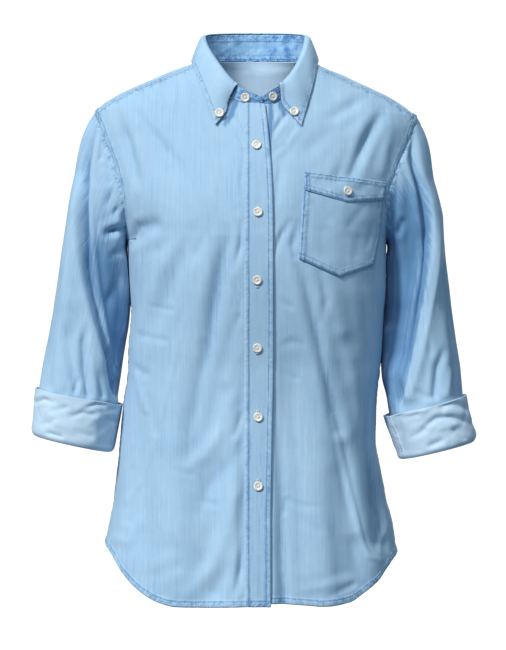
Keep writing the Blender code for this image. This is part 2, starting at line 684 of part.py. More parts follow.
offs = {k: v[1] * HALF for k, v in grids.items()}
sleeves = {}
for side, fname, sname in ((-1, 'front_right', 'sleeve_right'), (1, 'front_left', 'sleeve_left')):
    fp, fn, fa = grids[fname]
    bp, bn, ba = grids['back']
    yp, yn, _ = grids['yoke']
    col = 0 if side < 0 else -1
    keys = [('yoke', j, col) for j in range(ROWS_YOKE)] + [('back', j, col) for j in range(ba)] + [(fname, j, -1) for j in range(fa, 0, -1)]
    loop = np.array([grids[k][0][r, c] for k, r, c in keys])
    nb = unit(np.array([grids[k][1][r, c] for k, r, c in keys]))
    # angle from the length round the armhole, front and back apart
    ring = np.vstack([loop, loop[:1]])
    run = np.concatenate([[0], np.cumsum(np.linalg.norm(np.diff(ring, axis=0), axis=1))])
    under = ROWS_YOKE + ba
    ys = loop[:ROWS_YOKE + 1, 1]
    k = int(np.argmax(ys > 0)) - 1
    tip = run[k] + (run[k + 1] - run[k]) * (0 - ys[k]) / (ys[k + 1] - ys[k])
    ang = np.zeros(len(loop))
    for i in range(len(loop)):
        if i <= under:
            ang[i] = -180.0 * (run[i] - tip) / (run[under] - tip)
        else:
            ang[i] = 180.0 * (run[-1] + tip - run[i]) / (run[-1] + tip - run[under])
    ang = np.where(ang < -180 + 1e-6, 180.0, ang)
    sp, sn = sleeve_surface(side, loop, np.radians(ang))
    # mitre: body and sleeve share the direction of their rims
    ns = sn[0]
    dot = np.sum(nb * ns, -1, keepdims=True)
    mitre = (nb + ns) / (1 + np.maximum(dot, -0.2)) * HALF
    soff = sn * HALF
    soff[0] = mitre
    for (k_, r, c), m in zip(keys, mitre):
        offs[k_][r, c] = m
    # the same points belong to more than one panel
    offs[fname][fa, -1] = mitre[under]
    offs['back'][ba, col] = mitre[under]
    offs['back'][0, col] = mitre[ROWS_YOKE]
    offs['yoke'][-1, col] = mitre[ROWS_YOKE]
    offs[fname][0, -1] = mitre[0]
    offs['yoke'][0, col] = mitre[0]
    # open the seam on the sleeve's side
    step = unit(sp[1] - sp[0])
    tangent = unit(np.roll(loop, -1, axis=0) - np.roll(loop, 1, axis=0))
    step = unit(step - tangent * np.sum(step * tangent, -1, keepdims=True))
    sp[0] = sp[0] + step * (GAP / 2)
    sleeves[sname] = (sp, soff, np.radians(ang))

for name in ('front_right', 'front_left'):
    p, n, _ = grids[name]
    grids[name].append(pull_in(p, n, top=True, right=True))
    wall(name, grids[name][3], offs[name], 'denim')
p, n, _ = grids['back']
wall('back', pull_in(p, n, top=True, left=True, right=True), offs['back'], 'denim')
p, n, _ = grids['yoke']
wall('yoke', pull_in(p, n, top=True, bottom=True, left=True, right=True), offs['yoke'], 'denim')
for name, (p, off, _) in sleeves.items():
    wall(name, p, off, 'denim', closed=True)

# placket: the last columns of the wearer's right front, moved out
p, n = grids['front_right'][:2]
sheet('placket', p[:, :3] + n[:, :3] * (STACK + 0.15), 'denim', CLOTH)


# turned-up cuffs: outer leg, fold at the bottom, short leg inside the sleeve
def cuff(name, side, table, sleeve_table, angles):
    top, low = table
    mix = lambda v: tuple(l + (t - l) * v for t, l in zip(top, low))
    rows = [column([(i,) + r for i, r in enumerate(sleeve_table)], 0, k + 1) for k in range(6)]
    end = tuple(float(f(len(sleeve_table) - 1)) for f in rows)
    up = tuple(float(f(len(sleeve_table) - 1.45)) for f in rows)
    rings = [tube_ring(mix(v), side, angles) for v in (1.0, 0.66, 0.33, 0.05)]
    fold = mix(-0.045)
    fold = (0.5 * (fold[0] + end[0]), 0.5 * (fold[1] + end[1]), fold[2], 0.5 * (low[3] + end[3] - 2.4), 0.5 * (low[4] + end[4] - 2.4), fold[5])
    rings.append(tube_ring(fold, side, angles))
    rings.append(tube_ring(end, side, angles, -2.4))
    rings.append(tube_ring(up, side, angles, -2.6))
    p = np.array(rings)
    p = clear_body(side, p, 2.3, ARMPIT_Z)
    n = ring_normals(p, side)
    # the profile doubles back, so its normals come from the profile itself
    along = np.gradient(p, axis=0)
    around = np.roll(p, -1, axis=1) - np.roll(p, 1, axis=1)
    n = unit(np.cross(along, around))
    wall(name, p, n * HALF, 'denim_wrong_side', closed=True)


for side, name, table, stable, sname in ((-1, 'turnup_right', CUFF_RIGHT, SLEEVE_RIGHT, 'sleeve_right'), (1, 'turnup_left', CUFF_LEFT, SLEEVE_LEFT, 'sleeve_left')):
    cuff(name, side, table, stable, sleeves[sname][2])

# collar stand, along the neckline's own points
fr, nr = grids['front_right'][0], grids['front_right'][1]
fl, nl = grids['front_left'][0], grids['front_left'][1]
yp = grids['yoke'][0]
mid_col = yp.shape[1] // 2
neck_cols = len(NECK_BACK)                       # yoke columns between the seams, one side
base = []
tops = []
first_x = 8.0
y0 = float(body_y(True, np.array(first_x), np.array(-51.5)))
base.append((first_x, y0 - STACK - 0.1, -51.5))
base.append((-3.0, float(body_y(True, np.array(-3.0), np.array(-51.5))) - STACK - 0.1, -51.2))
for c in range(2, 7):
    base.append(tuple(fr[0, c]))
for k in range(neck_cols - 1, 0, -1):
    base.append(tuple(yp[0, mid_col - k]))
base.append(tuple(yp[0, mid_col]))
for k in range(1, neck_cols):
    base.append(tuple(yp[0, mid_col + k]))
for c in range(6, 1, -1):
    base.append(tuple(fl[0, c]))
base.append((5.5, float(body_y(True, np.array(5.5), np.array(-51.0))) + 0.4, -51.2))
tops = list(FOLD_LINE_RIGHT) + [FOLD_LINE_MID] + list(reversed(FOLD_LINE_LEFT))
base, tops = np.array(base), np.array(tops)
up = unit(tops - base)
stand = []
for v in (0.0, 0.5, 1.0):
    q = base + up * 1.05
    stand.append(q + (tops - q) * v)
stand = np.array(stand)
sheet('collar_stand', stand, 'denim')

# collar fall: caps the stand, rolls over it and hangs down outside
head = np.array(tops[3:-2])
first = np.array([-22.6, -74.9, -26.6])
last = np.array([29.0, -72.8, -26.2])
head = np.vstack([first, head, last])
b_mid = np.array(base[3:-2])
b_head = np.vstack([b_mid[:1], b_mid, b_mid[-1:]])
leaf = list(LEAF_RIGHT) + [LEAF_MID] + list(reversed(LEAF_LEFT))
edge = []
for x, y, z in leaf:
    if y is None:
        y = float(body_y(True, np.array(float(x)), np.array(float(z)))) - 3.9
    edge.append((x, y, z))
edge = np.array(edge)
assert len(edge) == len(head), (len(edge), len(head))
UP = unit(head - b_head)
centre = np.array([0.0, -10.0, 0.0])
tan = np.gradient(head, axis=0)
out = unit(np.cross(UP, tan))
flip = np.sign(np.sum(out * (head - centre), -1, keepdims=True))
out = out * flip
fall = []
for j in range(len(head)):
    q0 = head[j] + UP[j] * 1.45 - out[j] * 0.7
    q1 = head[j] + UP[j] * 1.6 + out[j] * 2.6
    length = np.linalg.norm(edge[j] - q1)
    c1 = q1 + out[j] * length * 0.16 - UP[j] * length * 0.10
    c2 = edge[j] + (q1 - edge[j]) * 0.45 + out[j] * length * 0.07
    rowp = [q0, q1]
    for t in (0.27, 0.62, 1.0):
        rowp.append((1 - t) ** 3 * q1 + 3 * t * (1 - t) ** 2 * c1 + 3 * t * t * (1 - t) * c2 + t ** 3 * edge[j])
    fall.append(rowp)
fall = np.array(fall).transpose(1, 0, 2)
for j, table in ((0, POINT_EDGE_RIGHT), (-1, POINT_EDGE_LEFT)):
    for r, (x, z, off) in enumerate(table):
        if r == 0:
            continue
        y = float(body_y(True, np.array(x), np.array(z))) - off
        fall[r, j] = (x, min(y, -77.0 - 0.9 * r), z)
# keep the leaf clear of the fronts and of the stand
for r in range(2, fall.shape[0]):
    for j in range(fall.shape[1]):
        x, y, z = fall[r, j]
        if y < 0 and z < 6:
            lim = float(body_y(True, np.array(x), np.array(z))) - 3.9
            fall[r, j, 1] = min(y, lim)
sheet('collar_fall', fall, 'denim')


# pocket and flap, laid on the wearer's left front
def patch(corners, rows, cols, lift, bottom=True):
    tl, tr = np.array(corners['tl']), np.array(corners['tr'])
    bl, br, pt = np.array(corners['bl']), np.array(corners['br']), np.array(corners['pt'])
    grid = np.zeros((rows + 1, cols + 1, 2))
    for r in range(rows + 1):
        v = r / rows
        for c in range(cols + 1):
            u = c / cols
            head_ = tl + (tr - tl) * u
            foot = bl + (pt - bl) * (u / 0.5) if u <= 0.5 else pt + (br - pt) * ((u - 0.5) / 0.5)
            q = head_ + (foot - head_) * v
            if 'rm' in corners:
                mid_ = (tr + br) / 2
                q = q + (np.array(corners['rm']) - mid_) * u * 4 * v * (1 - v)
            grid[r, c] = q
    p_, n_ = front_point(1, grid[..., 0], grid[..., 1])
    return p_ + n_ * lift, n_


POCKET_LIFT = STACK + 0.45
FLAP_LIFT = POCKET_LIFT + STACK + 0.25
pk, _ = patch(POCKET, 7, 8, POCKET_LIFT)
sheet('pocket', pk, 'denim')
fk_, _ = patch(FLAP, 3, 8, FLAP_LIFT)
sheet('pocket_flap', fk_, 'denim')


# ---------------------------------------------------------------- buttons
def button(name, at, normal, spin=0.0):
    """Round button, sunk face, four holes."""
    mesh = bpy.data.meshes.new(name)
    bm = bmesh.new()
    bmesh.ops.create_cone(bm, cap_ends=True, segments=20, radius1=BUTTON_R * 0.94 * MM, radius2=BUTTON_R * MM, depth=BUTTON_T * MM)
    bm.faces.ensure_lookup_table()
    top = max(bm.faces, key=lambda f: f.calc_center_median().z)
    bmesh.ops.inset_individual(bm, faces=[top], thickness=1.0 * MM)
    bmesh.ops.inset_individual(bm, faces=[top], thickness=0.5 * MM)
    bmesh.ops.translate(bm, verts=list(top.verts), vec=(0, 0, -0.5 * MM))
    bmesh.ops.recalc_face_normals(bm, faces=bm.faces)
    bm.to_mesh(mesh)
    bm.free()
    ob = place(name, mesh, 'button', False)
    cut = bpy.data.meshes.new(name + '_holes')
    bm = bmesh.new()
    for sx in (-1, 1):
        for sy in (-1, 1):
            bmesh.ops.create_cone(bm, cap_ends=True, segments=8, radius1=HOLE_R * MM, radius2=HOLE_R * MM, depth=3 * BUTTON_T * MM,
                                  matrix=Matrix.Translation((sx * HOLE_PITCH / 2 * MM, sy * HOLE_PITCH / 2 * MM, 0)))
    bm.to_mesh(cut)
    bm.free()
    cutter = bpy.data.objects.new(name + '_holes', cut)
    tools.objects.link(cutter)
    cutter.hide_render = True
    cutter.display_type = 'WIRE'
    z = Vector(normal).normalized()
    rot = z.to_track_quat('Z', 'Y').to_matrix().to_4x4()
    pose = Matrix.Translation(Vector(at) * MM) @ rot @ Matrix.Rotation(spin, 4, 'Z')
    for o in (ob, cutter):
        o.location = pose.to_translation()
        o.rotation_euler = pose.to_euler()
    cutter.parent = root
    mod = ob.modifiers.new('holes', 'BOOLEAN')
    mod.operation = 'DIFFERENCE'
    mod.solver = 'EXACT'
    mod.object = cutter
    return ob


REST = HALF + 0.35 + BUTTON_T / 2       # cloth middle to button middle
for i, (x, z) in enumerate(PLACKET_BUTTONS):
    p_, n_ = front_point(-1, np.array(x), np.array(z))
    button('button_placket_%d' % (i + 1), p_ + n_ * (STACK + 0.15 + REST + 0.15), n_)
p_, n_ = front_point(1, np.array(FLAP_BUTTON[0]), np.array(FLAP_BUTTON[1]))
button('button_flap', p_ + n_ * (FLAP_LIFT + REST + 0.35), n_)


def on_surface(g, x, z):
    """Nearest point of a strip seen from the front, and its normal."""
    best = None
    for r in range(g.shape[0] - 1):
        for c in range(g.shape[1] - 1):
            for t in np.linspace(0, 1, 9):
                for s in np.linspace(0, 1, 9):
                    q = (1 - t) * ((1 - s) * g[r, c] + s * g[r, c + 1]) + t * ((1 - s) * g[r + 1, c] + s * g[r + 1, c + 1])
                    if q[1] > -30:
                        continue
                    dist = (q[0] - x) ** 2 + (q[2] - z) ** 2
                    if best is None or dist < best[0]:
                        n_ = unit(np.cross(g[r, c + 1] - g[r, c] + g[r + 1, c + 1] - g[r + 1, c], g[r + 1, c] - g[r, c] + g[r + 1, c + 1] - g[r, c + 1]))
                        best = (dist, q, n_ if n_[1] < 0 else -n_)
    return best[1], best[2]


q, n_ = on_surface(stand, -12.6, -41.5)
button('button_stand_right', q + n_ * (REST + 0.35), n_)
q, n_ = on_surface(stand, 21.0, -40.5)
button('button_stand_left', q + n_ * (REST + 0.35), n_)
q, n_ = on_surface(fall, -45.2, -61.5)
button('button_collar_right', q + n_ * (REST + 0.55), n_)
q, n_ = on_surface(fall, 46.5, -61.5)
button('button_collar_left', q + n_ * (REST + 0.55), n_)
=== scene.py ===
# Looks of the denim shirt: cloth shells on the solids' own form, stitches,
# buttons and light.
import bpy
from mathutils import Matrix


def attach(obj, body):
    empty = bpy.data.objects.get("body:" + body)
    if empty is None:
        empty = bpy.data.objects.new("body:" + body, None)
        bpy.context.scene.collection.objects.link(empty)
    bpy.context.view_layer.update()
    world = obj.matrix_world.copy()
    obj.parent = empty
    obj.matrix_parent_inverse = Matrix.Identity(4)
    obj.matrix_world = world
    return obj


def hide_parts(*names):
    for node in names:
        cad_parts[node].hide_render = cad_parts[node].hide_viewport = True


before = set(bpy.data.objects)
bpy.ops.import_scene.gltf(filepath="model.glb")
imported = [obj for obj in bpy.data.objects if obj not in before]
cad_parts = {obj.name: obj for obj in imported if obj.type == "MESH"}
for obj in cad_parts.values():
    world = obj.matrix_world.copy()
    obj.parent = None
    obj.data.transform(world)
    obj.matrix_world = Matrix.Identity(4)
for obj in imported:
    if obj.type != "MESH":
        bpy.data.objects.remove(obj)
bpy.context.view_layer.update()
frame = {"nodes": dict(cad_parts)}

import bpy
import bmesh
import numpy as np
from math import sin, cos, pi, radians, sqrt
from mathutils import Vector, Matrix

MM = 0.001
CLOTH = 1.2            # wall of the cloth
GAP = 0.32             # opening left at every seam
STACK = 1.75           # middle to middle of two cloths lying on each other
SEAM_DROP = 9.0        # front yoke seam, below the shoulder ridge
YOKE_BACK_Z = -95.0    # level of the back yoke seam
ARMPIT_Z = -218.0
TIP_X = 205.0          # shoulder tip, from the middle
BUTTON_R = 5.75
BUTTON_T = 2.2
HOLE_R = 0.8
HOLE_PITCH = 2.3

# level, half width to the wearer's right and left, depth in front and
# behind, and how square the section is
BODY = [
    # z, right, left, front, back, square
    (34, 8, 8, 36, 52, 2.0),
    (28, 36, 36, 38, 55, 2.0),
    (22, 53, 53, 41, 58, 2.0),
    (17, 62, 62, 43, 60, 2.0),
    (11, 72, 71, 45, 62, 2.0),
    (5, 88, 82, 48, 64, 2.0),
    (-5, 114, 105, 52, 68, 2.0),
    (-15, 137, 127, 57, 72, 2.0),
    (-25, 161, 150, 62, 76, 2.0),
    (-35, 181, 171, 67, 80, 2.0),
    (-45, 196, 187, 72, 84, 2.0),
    (-54, 205, 199, 76, 88, 2.0),
    (-60, 206.5, 205, 79, 90, 2.0),
    (-75, 207, 208, 86, 95, 2.0),
    (-90, 204, 205, 92, 100, 2.02),
    (-110, 200, 200, 99, 105, 2.05),
    (-130, 195, 195, 106, 109, 2.1),
    (-150, 189, 188, 112, 112, 2.15),
    (-175, 180, 179, 118, 115, 2.2),
    (-195, 171, 172, 121, 116, 2.25),
    (-207, 167, 168.5, 122, 116, 2.27),
    (-218, 164, 166, 123, 116, 2.3),
    (-250, 162, 165.5, 123, 115, 2.35),
    (-282, 160, 165, 121, 112, 2.35),
    (-307, 158.5, 162.5, 118, 109, 2.35),
    (-358, 162, 160, 111, 104, 2.35),
    (-384, 162.5, 157.5, 108, 102, 2.35),
    (-422, 168, 153.5, 107, 102, 2.3),
    (-474, 173, 152, 110, 106, 2.25),
    (-499, 175, 156, 112, 108, 2.2),
    (-525, 178, 161, 114, 111, 2.2),
    (-550, 181, 166, 116, 113, 2.2),
    (-576, 186, 173, 118, 115, 2.2),
    (-602, 191, 177, 120, 117, 2.2),
    (-640, 195, 181, 122, 119, 2.2),
    (-700, 198, 184, 124, 121, 2.2),
]
# armhole seam: level, distance from the middle
ARMHOLE = [
    # z, right, left
    (-54, 205, 205),
    (-60, 203.3, 205),
    (-78, 195.3, 198.6),
    (-100, 187.0, 188.5),
    (-122, 178.6, 179.3),
    (-143, 171.7, 170.5),
    (-163, 166.6, 164.8),
    (-190, 163.6, 163.2),
    (-207, 163.4, 164.2),
    (-218, 164, 166),
    (-700, 198, 184),
]
# placket's free edge and the under edge of the wearer's left front
PLACKET_EDGE = [(-48, 10.5), (-85, 14.5), (-120, 17.6), (-185, 20.3), (-330, 21.0), (-400, 20.5), (-460, 19.0), (-580, 17.5), (-690, 17.5)]
UNDER_EDGE = [(-48, 4.0), (-75, -2.0), (-110, -11.0), (-150, -12.0), (-690, -12.0)]
HEM_RIGHT = [(0.0, -672.0), (0.3, -673.6), (0.45, -673.4), (0.58, -669.0), (0.69, -659.8), (0.77, -649.4), (0.85, -634.7), (0.93, -615.5), (1.0, -605.0)]
HEM_LEFT = [(0.0, -668.5), (0.1, -669.0), (0.25, -671.0), (0.40, -673.0), (0.59, -669.0), (0.70, -658.8), (0.817, -644.7), (0.876, -633.0), (0.94, -622.5), (1.0, -617.5)]
# top line of each front: distance from the middle, level (None: yoke seam)
TOP_RIGHT = [(14, -50.5), (30, -44), (46, -31), (60, -13), (72, None), (95, None), (118, None), (141, None), (163, None), (183, None), (197, None), (205, None)]
TOP_LEFT = [(19.5, -50.0), (34, -43), (48, -30), (61, -12.5), (72, None), (95, None), (118, None), (141, None), (163, None), (183, None), (197, None), (205, None)]
# back of the neckline, from the centre: distance, level
NECK_BACK = [(0, 17.0), (26, 16.5), (50, 15.0), (66, 13.0), (70.5, None)]
# large folds of the body: start, end, half width, depth (minus: a ridge)
FOLDS_FRONT = [
    # x0, z0, x1, z1, width, depth
    (-168, -72, -146, -152, 9, 3.0),
    (-152, -58, -95, -150, 10, 2.5),
    (-158, -222, -118, -200, 9, 3.5),
    (-150, -95, -128, -185, 10, -2.0),
    (-62, -400, -60, -690, 20, 4.5),
    (-26, -430, -22, -690, 12, -4.0),
    (-104, -370, -100, -690, 20, -5.0),
    (-146, -430, -140, -640, 15, 4.0),
    (108, -68, 62, -112, 10, 2.0),
    (120, -90, 98, -150, 9, 2.5),
    (46, -340, 50, -690, 17, 4.5),
    (84, -330, 92, -690, 16, -4.5),
    (108, -480, 128, -640, 11, 4.0),
    (136, -400, 150, -640, 14, -4.0),
]
FOLDS_BACK = [
    (-70, -200, -62, -700, 24, 6.0),
    (-112, -300, -120, -680, 20, -5.0),
    (-22, -260, -20, -700, 20, -5.0),
    (26, -330, 30, -700, 18, 5.0),
    (72, -220, 78, -700, 22, -5.5),
    (118, -340, 122, -660, 18, 5.0),
    (-150, -225, -90, -180, 12, 4.0),
    (150, -228, 96, -186, 12, 4.0),
]
# sleeve centre line and section: centre, half width, half depth, tilt
SLEEVE_RIGHT = [
    # x, y, z, half_w, half_d, tilt
    (-206.5, 12, -262, 44, 60, 8),
    (-211, 12, -310, 49, 58, 9),
    (-219.5, 6, -360, 50, 56.5, 9),
    (-225, 0, -400, 49.5, 55, 10),
    (-229.5, -6, -440, 48.5, 53, 11),
    (-233, -9, -469, 48, 52, 12),
]
SLEEVE_LEFT = [
    (207.5, 14, -262, 39.5, 60, 6),
    (209.5, 14, -298, 42.5, 59, 8),
    (211.5, 8, -346, 47, 57, 9),
    (214.5, 0, -397, 49.5, 55, 12),
    (219.5, -7, -440, 48, 53, 14),
    (228.5, -11, -475, 46.5, 51.5, 15),
]
# turned-up cuffs: top edge ring and bottom ring
CUFF_RIGHT = [(-225.7, -3, -416.5, 56.5, 61, 10.7), (-233.6, -9, -473.5, 53, 57, 12.5)]
CUFF_LEFT = [(215.4, -5, -428.4, 53.9, 60, 14.4), (231, -11, -482, 50.7, 56, 13.7)]
# folds of the sleeves: angle round (0 outside, 90 front), level, both ends
FOLDS_SLEEVE_RIGHT = [
    # a0, z0, a1, z1, width, depth
    (55, -190, 118, -335, 10, 6.0),
    (118, -335, 140, -400, 9, 4.0),
    (30, -150, 62, -330, 14, -4.0),
    (62, -330, 95, -405, 9, 4.0),
    (-60, -200, -125, -340, 12, 5.0),
    (-95, -320, -60, -410, 11, -4.0),
    (150, -260, 120, -300, 9, 3.0),
]
FOLDS_SLEEVE_LEFT = [
    (75, -205, 115, -290, 11, 5.5),
    (115, -290, 135, -375, 10, 5.0),
    (50, -180, 92, -400, 12, -4.5),
    (35, -250, 30, -345, 9, 4.5),
    (-60, -210, -120, -350, 12, 5.0),
    (-100, -330, -62, -420, 11, -4.0),
]
# collar fold line, one row for each neckline point from the front:
# x, y, z of the top of the stand
FOLD_LINE_RIGHT = [(8.5, -78.4, -42.5), (-4.5, -78.2, -36.5), (-15, -77.6, -32.5), (-27, -73, -24), (-41, -60.5, -7), (-53, -43.5, 11), (-62, -22, 28), (-65.5, -2, 39.5), (-63.5, 16, 45), (-49, 38, 49.5), (-26, 50, 51.5)]
FOLD_LINE_MID = (-1, 54, 52)
FOLD_LINE_LEFT = [(6.5, -75.0, -41.5), (21, -75.6, -32), (33, -71.5, -24), (45.5, -60.5, -9), (55.5, -44, 10), (61.5, -22, 28), (63.5, -2, 39.5), (62, 16, 45), (48, 38, 49.5), (25, 50, 51.5)]
# outer edge of the collar, from the point to the back; y None: on the front
LEAF_RIGHT = [(-50.5, None, -77), (-57, None, -58), (-64.5, None, -37), (-72, None, -17), (-79, None, 2), (-82, 0, 11.5), (-80, 28, 9), (-62, 55, 6), (-34, 70, 6)]
LEAF_MID = (-1, 75, 6.5)
LEAF_LEFT = [(56.4, None, -78), (62, None, -58), (68, None, -37), (73.5, None, -16), (77.5, None, 2), (79.5, 0, 12.5), (78, 28, 9), (61, 55, 6), (33, 70, 6)]
# free front edge of the collar, from the fold to the point: x, z, off
POINT_EDGE_RIGHT = [(-22.6, -26.0, 0.6), (-23.6, -25.6, 2.6), (-32.5, -40.0, 4.2), (-36.6, -57.5, 4.0), (-50.5, -77.0, 2.8)]
POINT_EDGE_LEFT = [(29.0, -26.0, 0.6), (29.6, -25.4, 2.6), (31.2, -41.0, 4.2), (38.0, -57.5, 4.0), (56.4, -78.0, 2.8)]
# pocket and flap corners on the wearer's left front
POCKET = dict(tl=(58.8, -150.2), tr=(157.0, -157.6), rm=(153.7, -208.0), br=(144.6, -251.3), pt=(102.0, -266.1), bl=(53.0, -244.7))
FLAP = dict(tl=(59.1, -138.3), tr=(160.6, -147.6), br=(156.5, -168.7), pt=(110.5, -174.3), bl=(60.1, -160.4))
PLACKET_BUTTONS = [(0.5, -105.0), (2.2, -188.0), (1.1, -270.4), (1.6, -353.5), (2.5, -439.7), (2.5, -524.6)]
FLAP_BUTTON = (111.0, -161.0)

# how finely the surfaces are divided
ROWS_ARM, ROWS_LOW = 8, 11
ROWS_YOKE, ROWS_BACK = 6, 6
RINGS_CAP, RINGS_TUBE = 5, 7


# ---------------------------------------------------------------- curves
class Curve:
    """Smooth curve through table rows that never overshoots them."""

    def __init__(self, xs, ys):
        xs, ys = np.array(xs, float), np.array(ys, float)
        order = np.argsort(xs)
        self.x, self.y = xs[order], ys[order]
        h = np.diff(self.x)
        d = np.diff(self.y) / h
        m = np.zeros(len(self.x))
        m[0], m[-1] = d[0], d[-1]
        for i in range(1, len(d)):
            if d[i - 1] * d[i] > 0:
                w1, w2 = 2 * h[i] + h[i - 1], h[i] + 2 * h[i - 1]
                m[i] = (w1 + w2) / (w1 / d[i - 1] + w2 / d[i])
        self.m = m

    def __call__(self, q):
        q = np.asarray(q, float)
        qc = np.clip(q, self.x[0], self.x[-1])
        i = np.clip(np.searchsorted(self.x, qc, side='right') - 1, 0, len(self.x) - 2)
        h = self.x[i + 1] - self.x[i]
        t = (qc - self.x[i]) / h
        t2, t3 = t * t, t * t * t
        return ((2 * t3 - 3 * t2 + 1) * self.y[i] + (t3 - 2 * t2 + t) * h * self.m[i]
                + (-2 * t3 + 3 * t2) * self.y[i + 1] + (t3 - t2) * h * self.m[i + 1])


def column(table, a, b):
    return Curve([r[a] for r in table], [r[b] for r in table])


def smooth(t):
    t = np.clip(t, 0.0, 1.0)
    return t * t * (3 - 2 * t)


out_r, out_l = column(BODY, 0, 1), column(BODY, 0, 2)
depth_f, depth_b, square = column(BODY, 0, 3), column(BODY, 0, 4), column(BODY, 0, 5)
arm_r, arm_l = column(ARMHOLE, 0, 1), column(ARMHOLE, 0, 2)
placket_edge, under_edge = Curve(*zip(*PLACKET_EDGE)), Curve(*zip(*UNDER_EDGE))
hem_r, hem_l = Curve(*zip(*HEM_RIGHT)), Curve(*zip(*HEM_LEFT))

_zs = np.linspace(34.0, -54.0, 1800)
_zl = np.linspace(34.0, -60.0, 1800)
RIDGE_R = (out_r(_zs), _zs)
RIDGE_L = (out_l(_zl), _zl)


def ridge(side, x):
    """Level of the shoulder ridge at a distance x from the middle."""
    xs, zs = RIDGE_R if side < 0 else RIDGE_L
    return np.interp(np.abs(x), xs, zs)


def outline(side, z):
    return out_r(z) if side < 0 else out_l(z)


def armhole(side, z, back=False):
    """Distance of the armhole seam, or of the side seam below it."""
    z = np.asarray(z, float)
    x = arm_r(z) if side < 0 else arm_l(z)
    if back:
        t = np.clip((-60.0 - z) / (-60.0 - ARMPIT_Z), 0, 1)
        x = x + 4.5 * np.sin(pi * t) * (1 - 0.4 * t)
    return np.where(z < ARMPIT_Z, outline(side, z), x)


def section(z):
    l, r = out_r(z), out_l(z)
    return (r - l) / 2, (r + l) / 2


def body_y(front, x, z):
    c, a = section(z)
    n = square(z)
    q = np.clip(1 - np.clip(np.abs((x - c) / a), 0, 1) ** n, 0, 1) ** (1 / n)
    return -depth_f(z) * q if front else depth_b(z) * q


def level_set(x, y, z):
    c, a = section(z)
    n = square(z)
    d = np.where(y < 0, depth_f(z), depth_b(z))
    return np.abs((x - c) / a) ** n + np.abs(y / d) ** n - 1


def body_normal(x, y, z):
    e = 0.4
    g = np.stack([level_set(x + e, y, z) - level_set(x - e, y, z),
                  level_set(x, y + e, z) - level_set(x, y - e, z),
                  level_set(x, y, z + e) - level_set(x, y, z - e)], -1)
    return g / np.maximum(np.linalg.norm(g, axis=-1, keepdims=True), 1e-12)


def fold_sum(folds, x, z, scale=1.0):
    """Depth of the folds at a point: troughs with soft sides and ends."""
    total = np.zeros(np.broadcast(x, z).shape)
    for x0, z0, x1, z1, width, depth in folds:
        dx, dz = x1 - x0, z1 - z0
        length = sqrt(dx * dx + dz * dz)
        t = ((x - x0) * dx + (z - z0) * dz) / length ** 2
        off = ((x - x0) * dz - (z - z0) * dx) / length
        end = smooth((t + 0.15) / 0.35) * smooth((1.15 - t) / 0.35)
        total = total + depth * end * np.exp(-(off / (width * scale)) ** 2)
    return total


def lap(x):
    """The wearer's right front lies over the left one."""
    return (STACK + 0.1) * smooth((x + 46.0) / 31.0)


def front_point(side, x, z, folds=True):
    """Point and normal of a front panel, at a distance x and level z."""
    y = body_y(True, x, z)
    n = body_normal(x, y, z)
    p = np.stack([x, y, z], -1)
    if side < 0:
        p = p + n * lap(x)[..., None]
    if folds:
        near = smooth((armhole(side, z) - np.abs(x)) / 22.0)
        flat = smooth((np.abs(x - 3.0) - 16.0) / 16.0)
        top = smooth((-58.0 - z) / 40.0)
        p = p - n * (fold_sum(FOLDS_FRONT, x, z) * near * flat * top)[..., None]
    return p, n


def back_point(x, z):
    y = body_y(False, x, z)
    n = body_normal(x, y, z)
    side = np.where(x < 0, -1, 1)
    edge = np.where(x < 0, armhole(-1, z, True), armhole(1, z, True))
    near = smooth((edge - np.abs(x)) / 22.0) * smooth((YOKE_BACK_Z - 12 - z) / 50.0)
    p = np.stack([x, y, z], -1) - n * (fold_sum(FOLDS_BACK, x, z) * near)[..., None]
    return p, n


# ---------------------------------------------------------------- panels
def arm_levels(side, z_top, rows, back=False):
    """Levels that divide the armhole evenly between z_top and the armpit."""
    z = ARMPIT_Z + (z_top - ARMPIT_Z) * np.linspace(1, 0, 900) ** 2
    x = side * armhole(side, z, back)
    y = body_y(not back, x, z)
    y[-1] = 0.0
    p = np.stack([x, y, z], -1)
    run = np.concatenate([[0], np.cumsum(np.linalg.norm(np.diff(p, axis=0), axis=1))])
    return np.interp(np.linspace(0, run[-1], rows + 1), run, z)


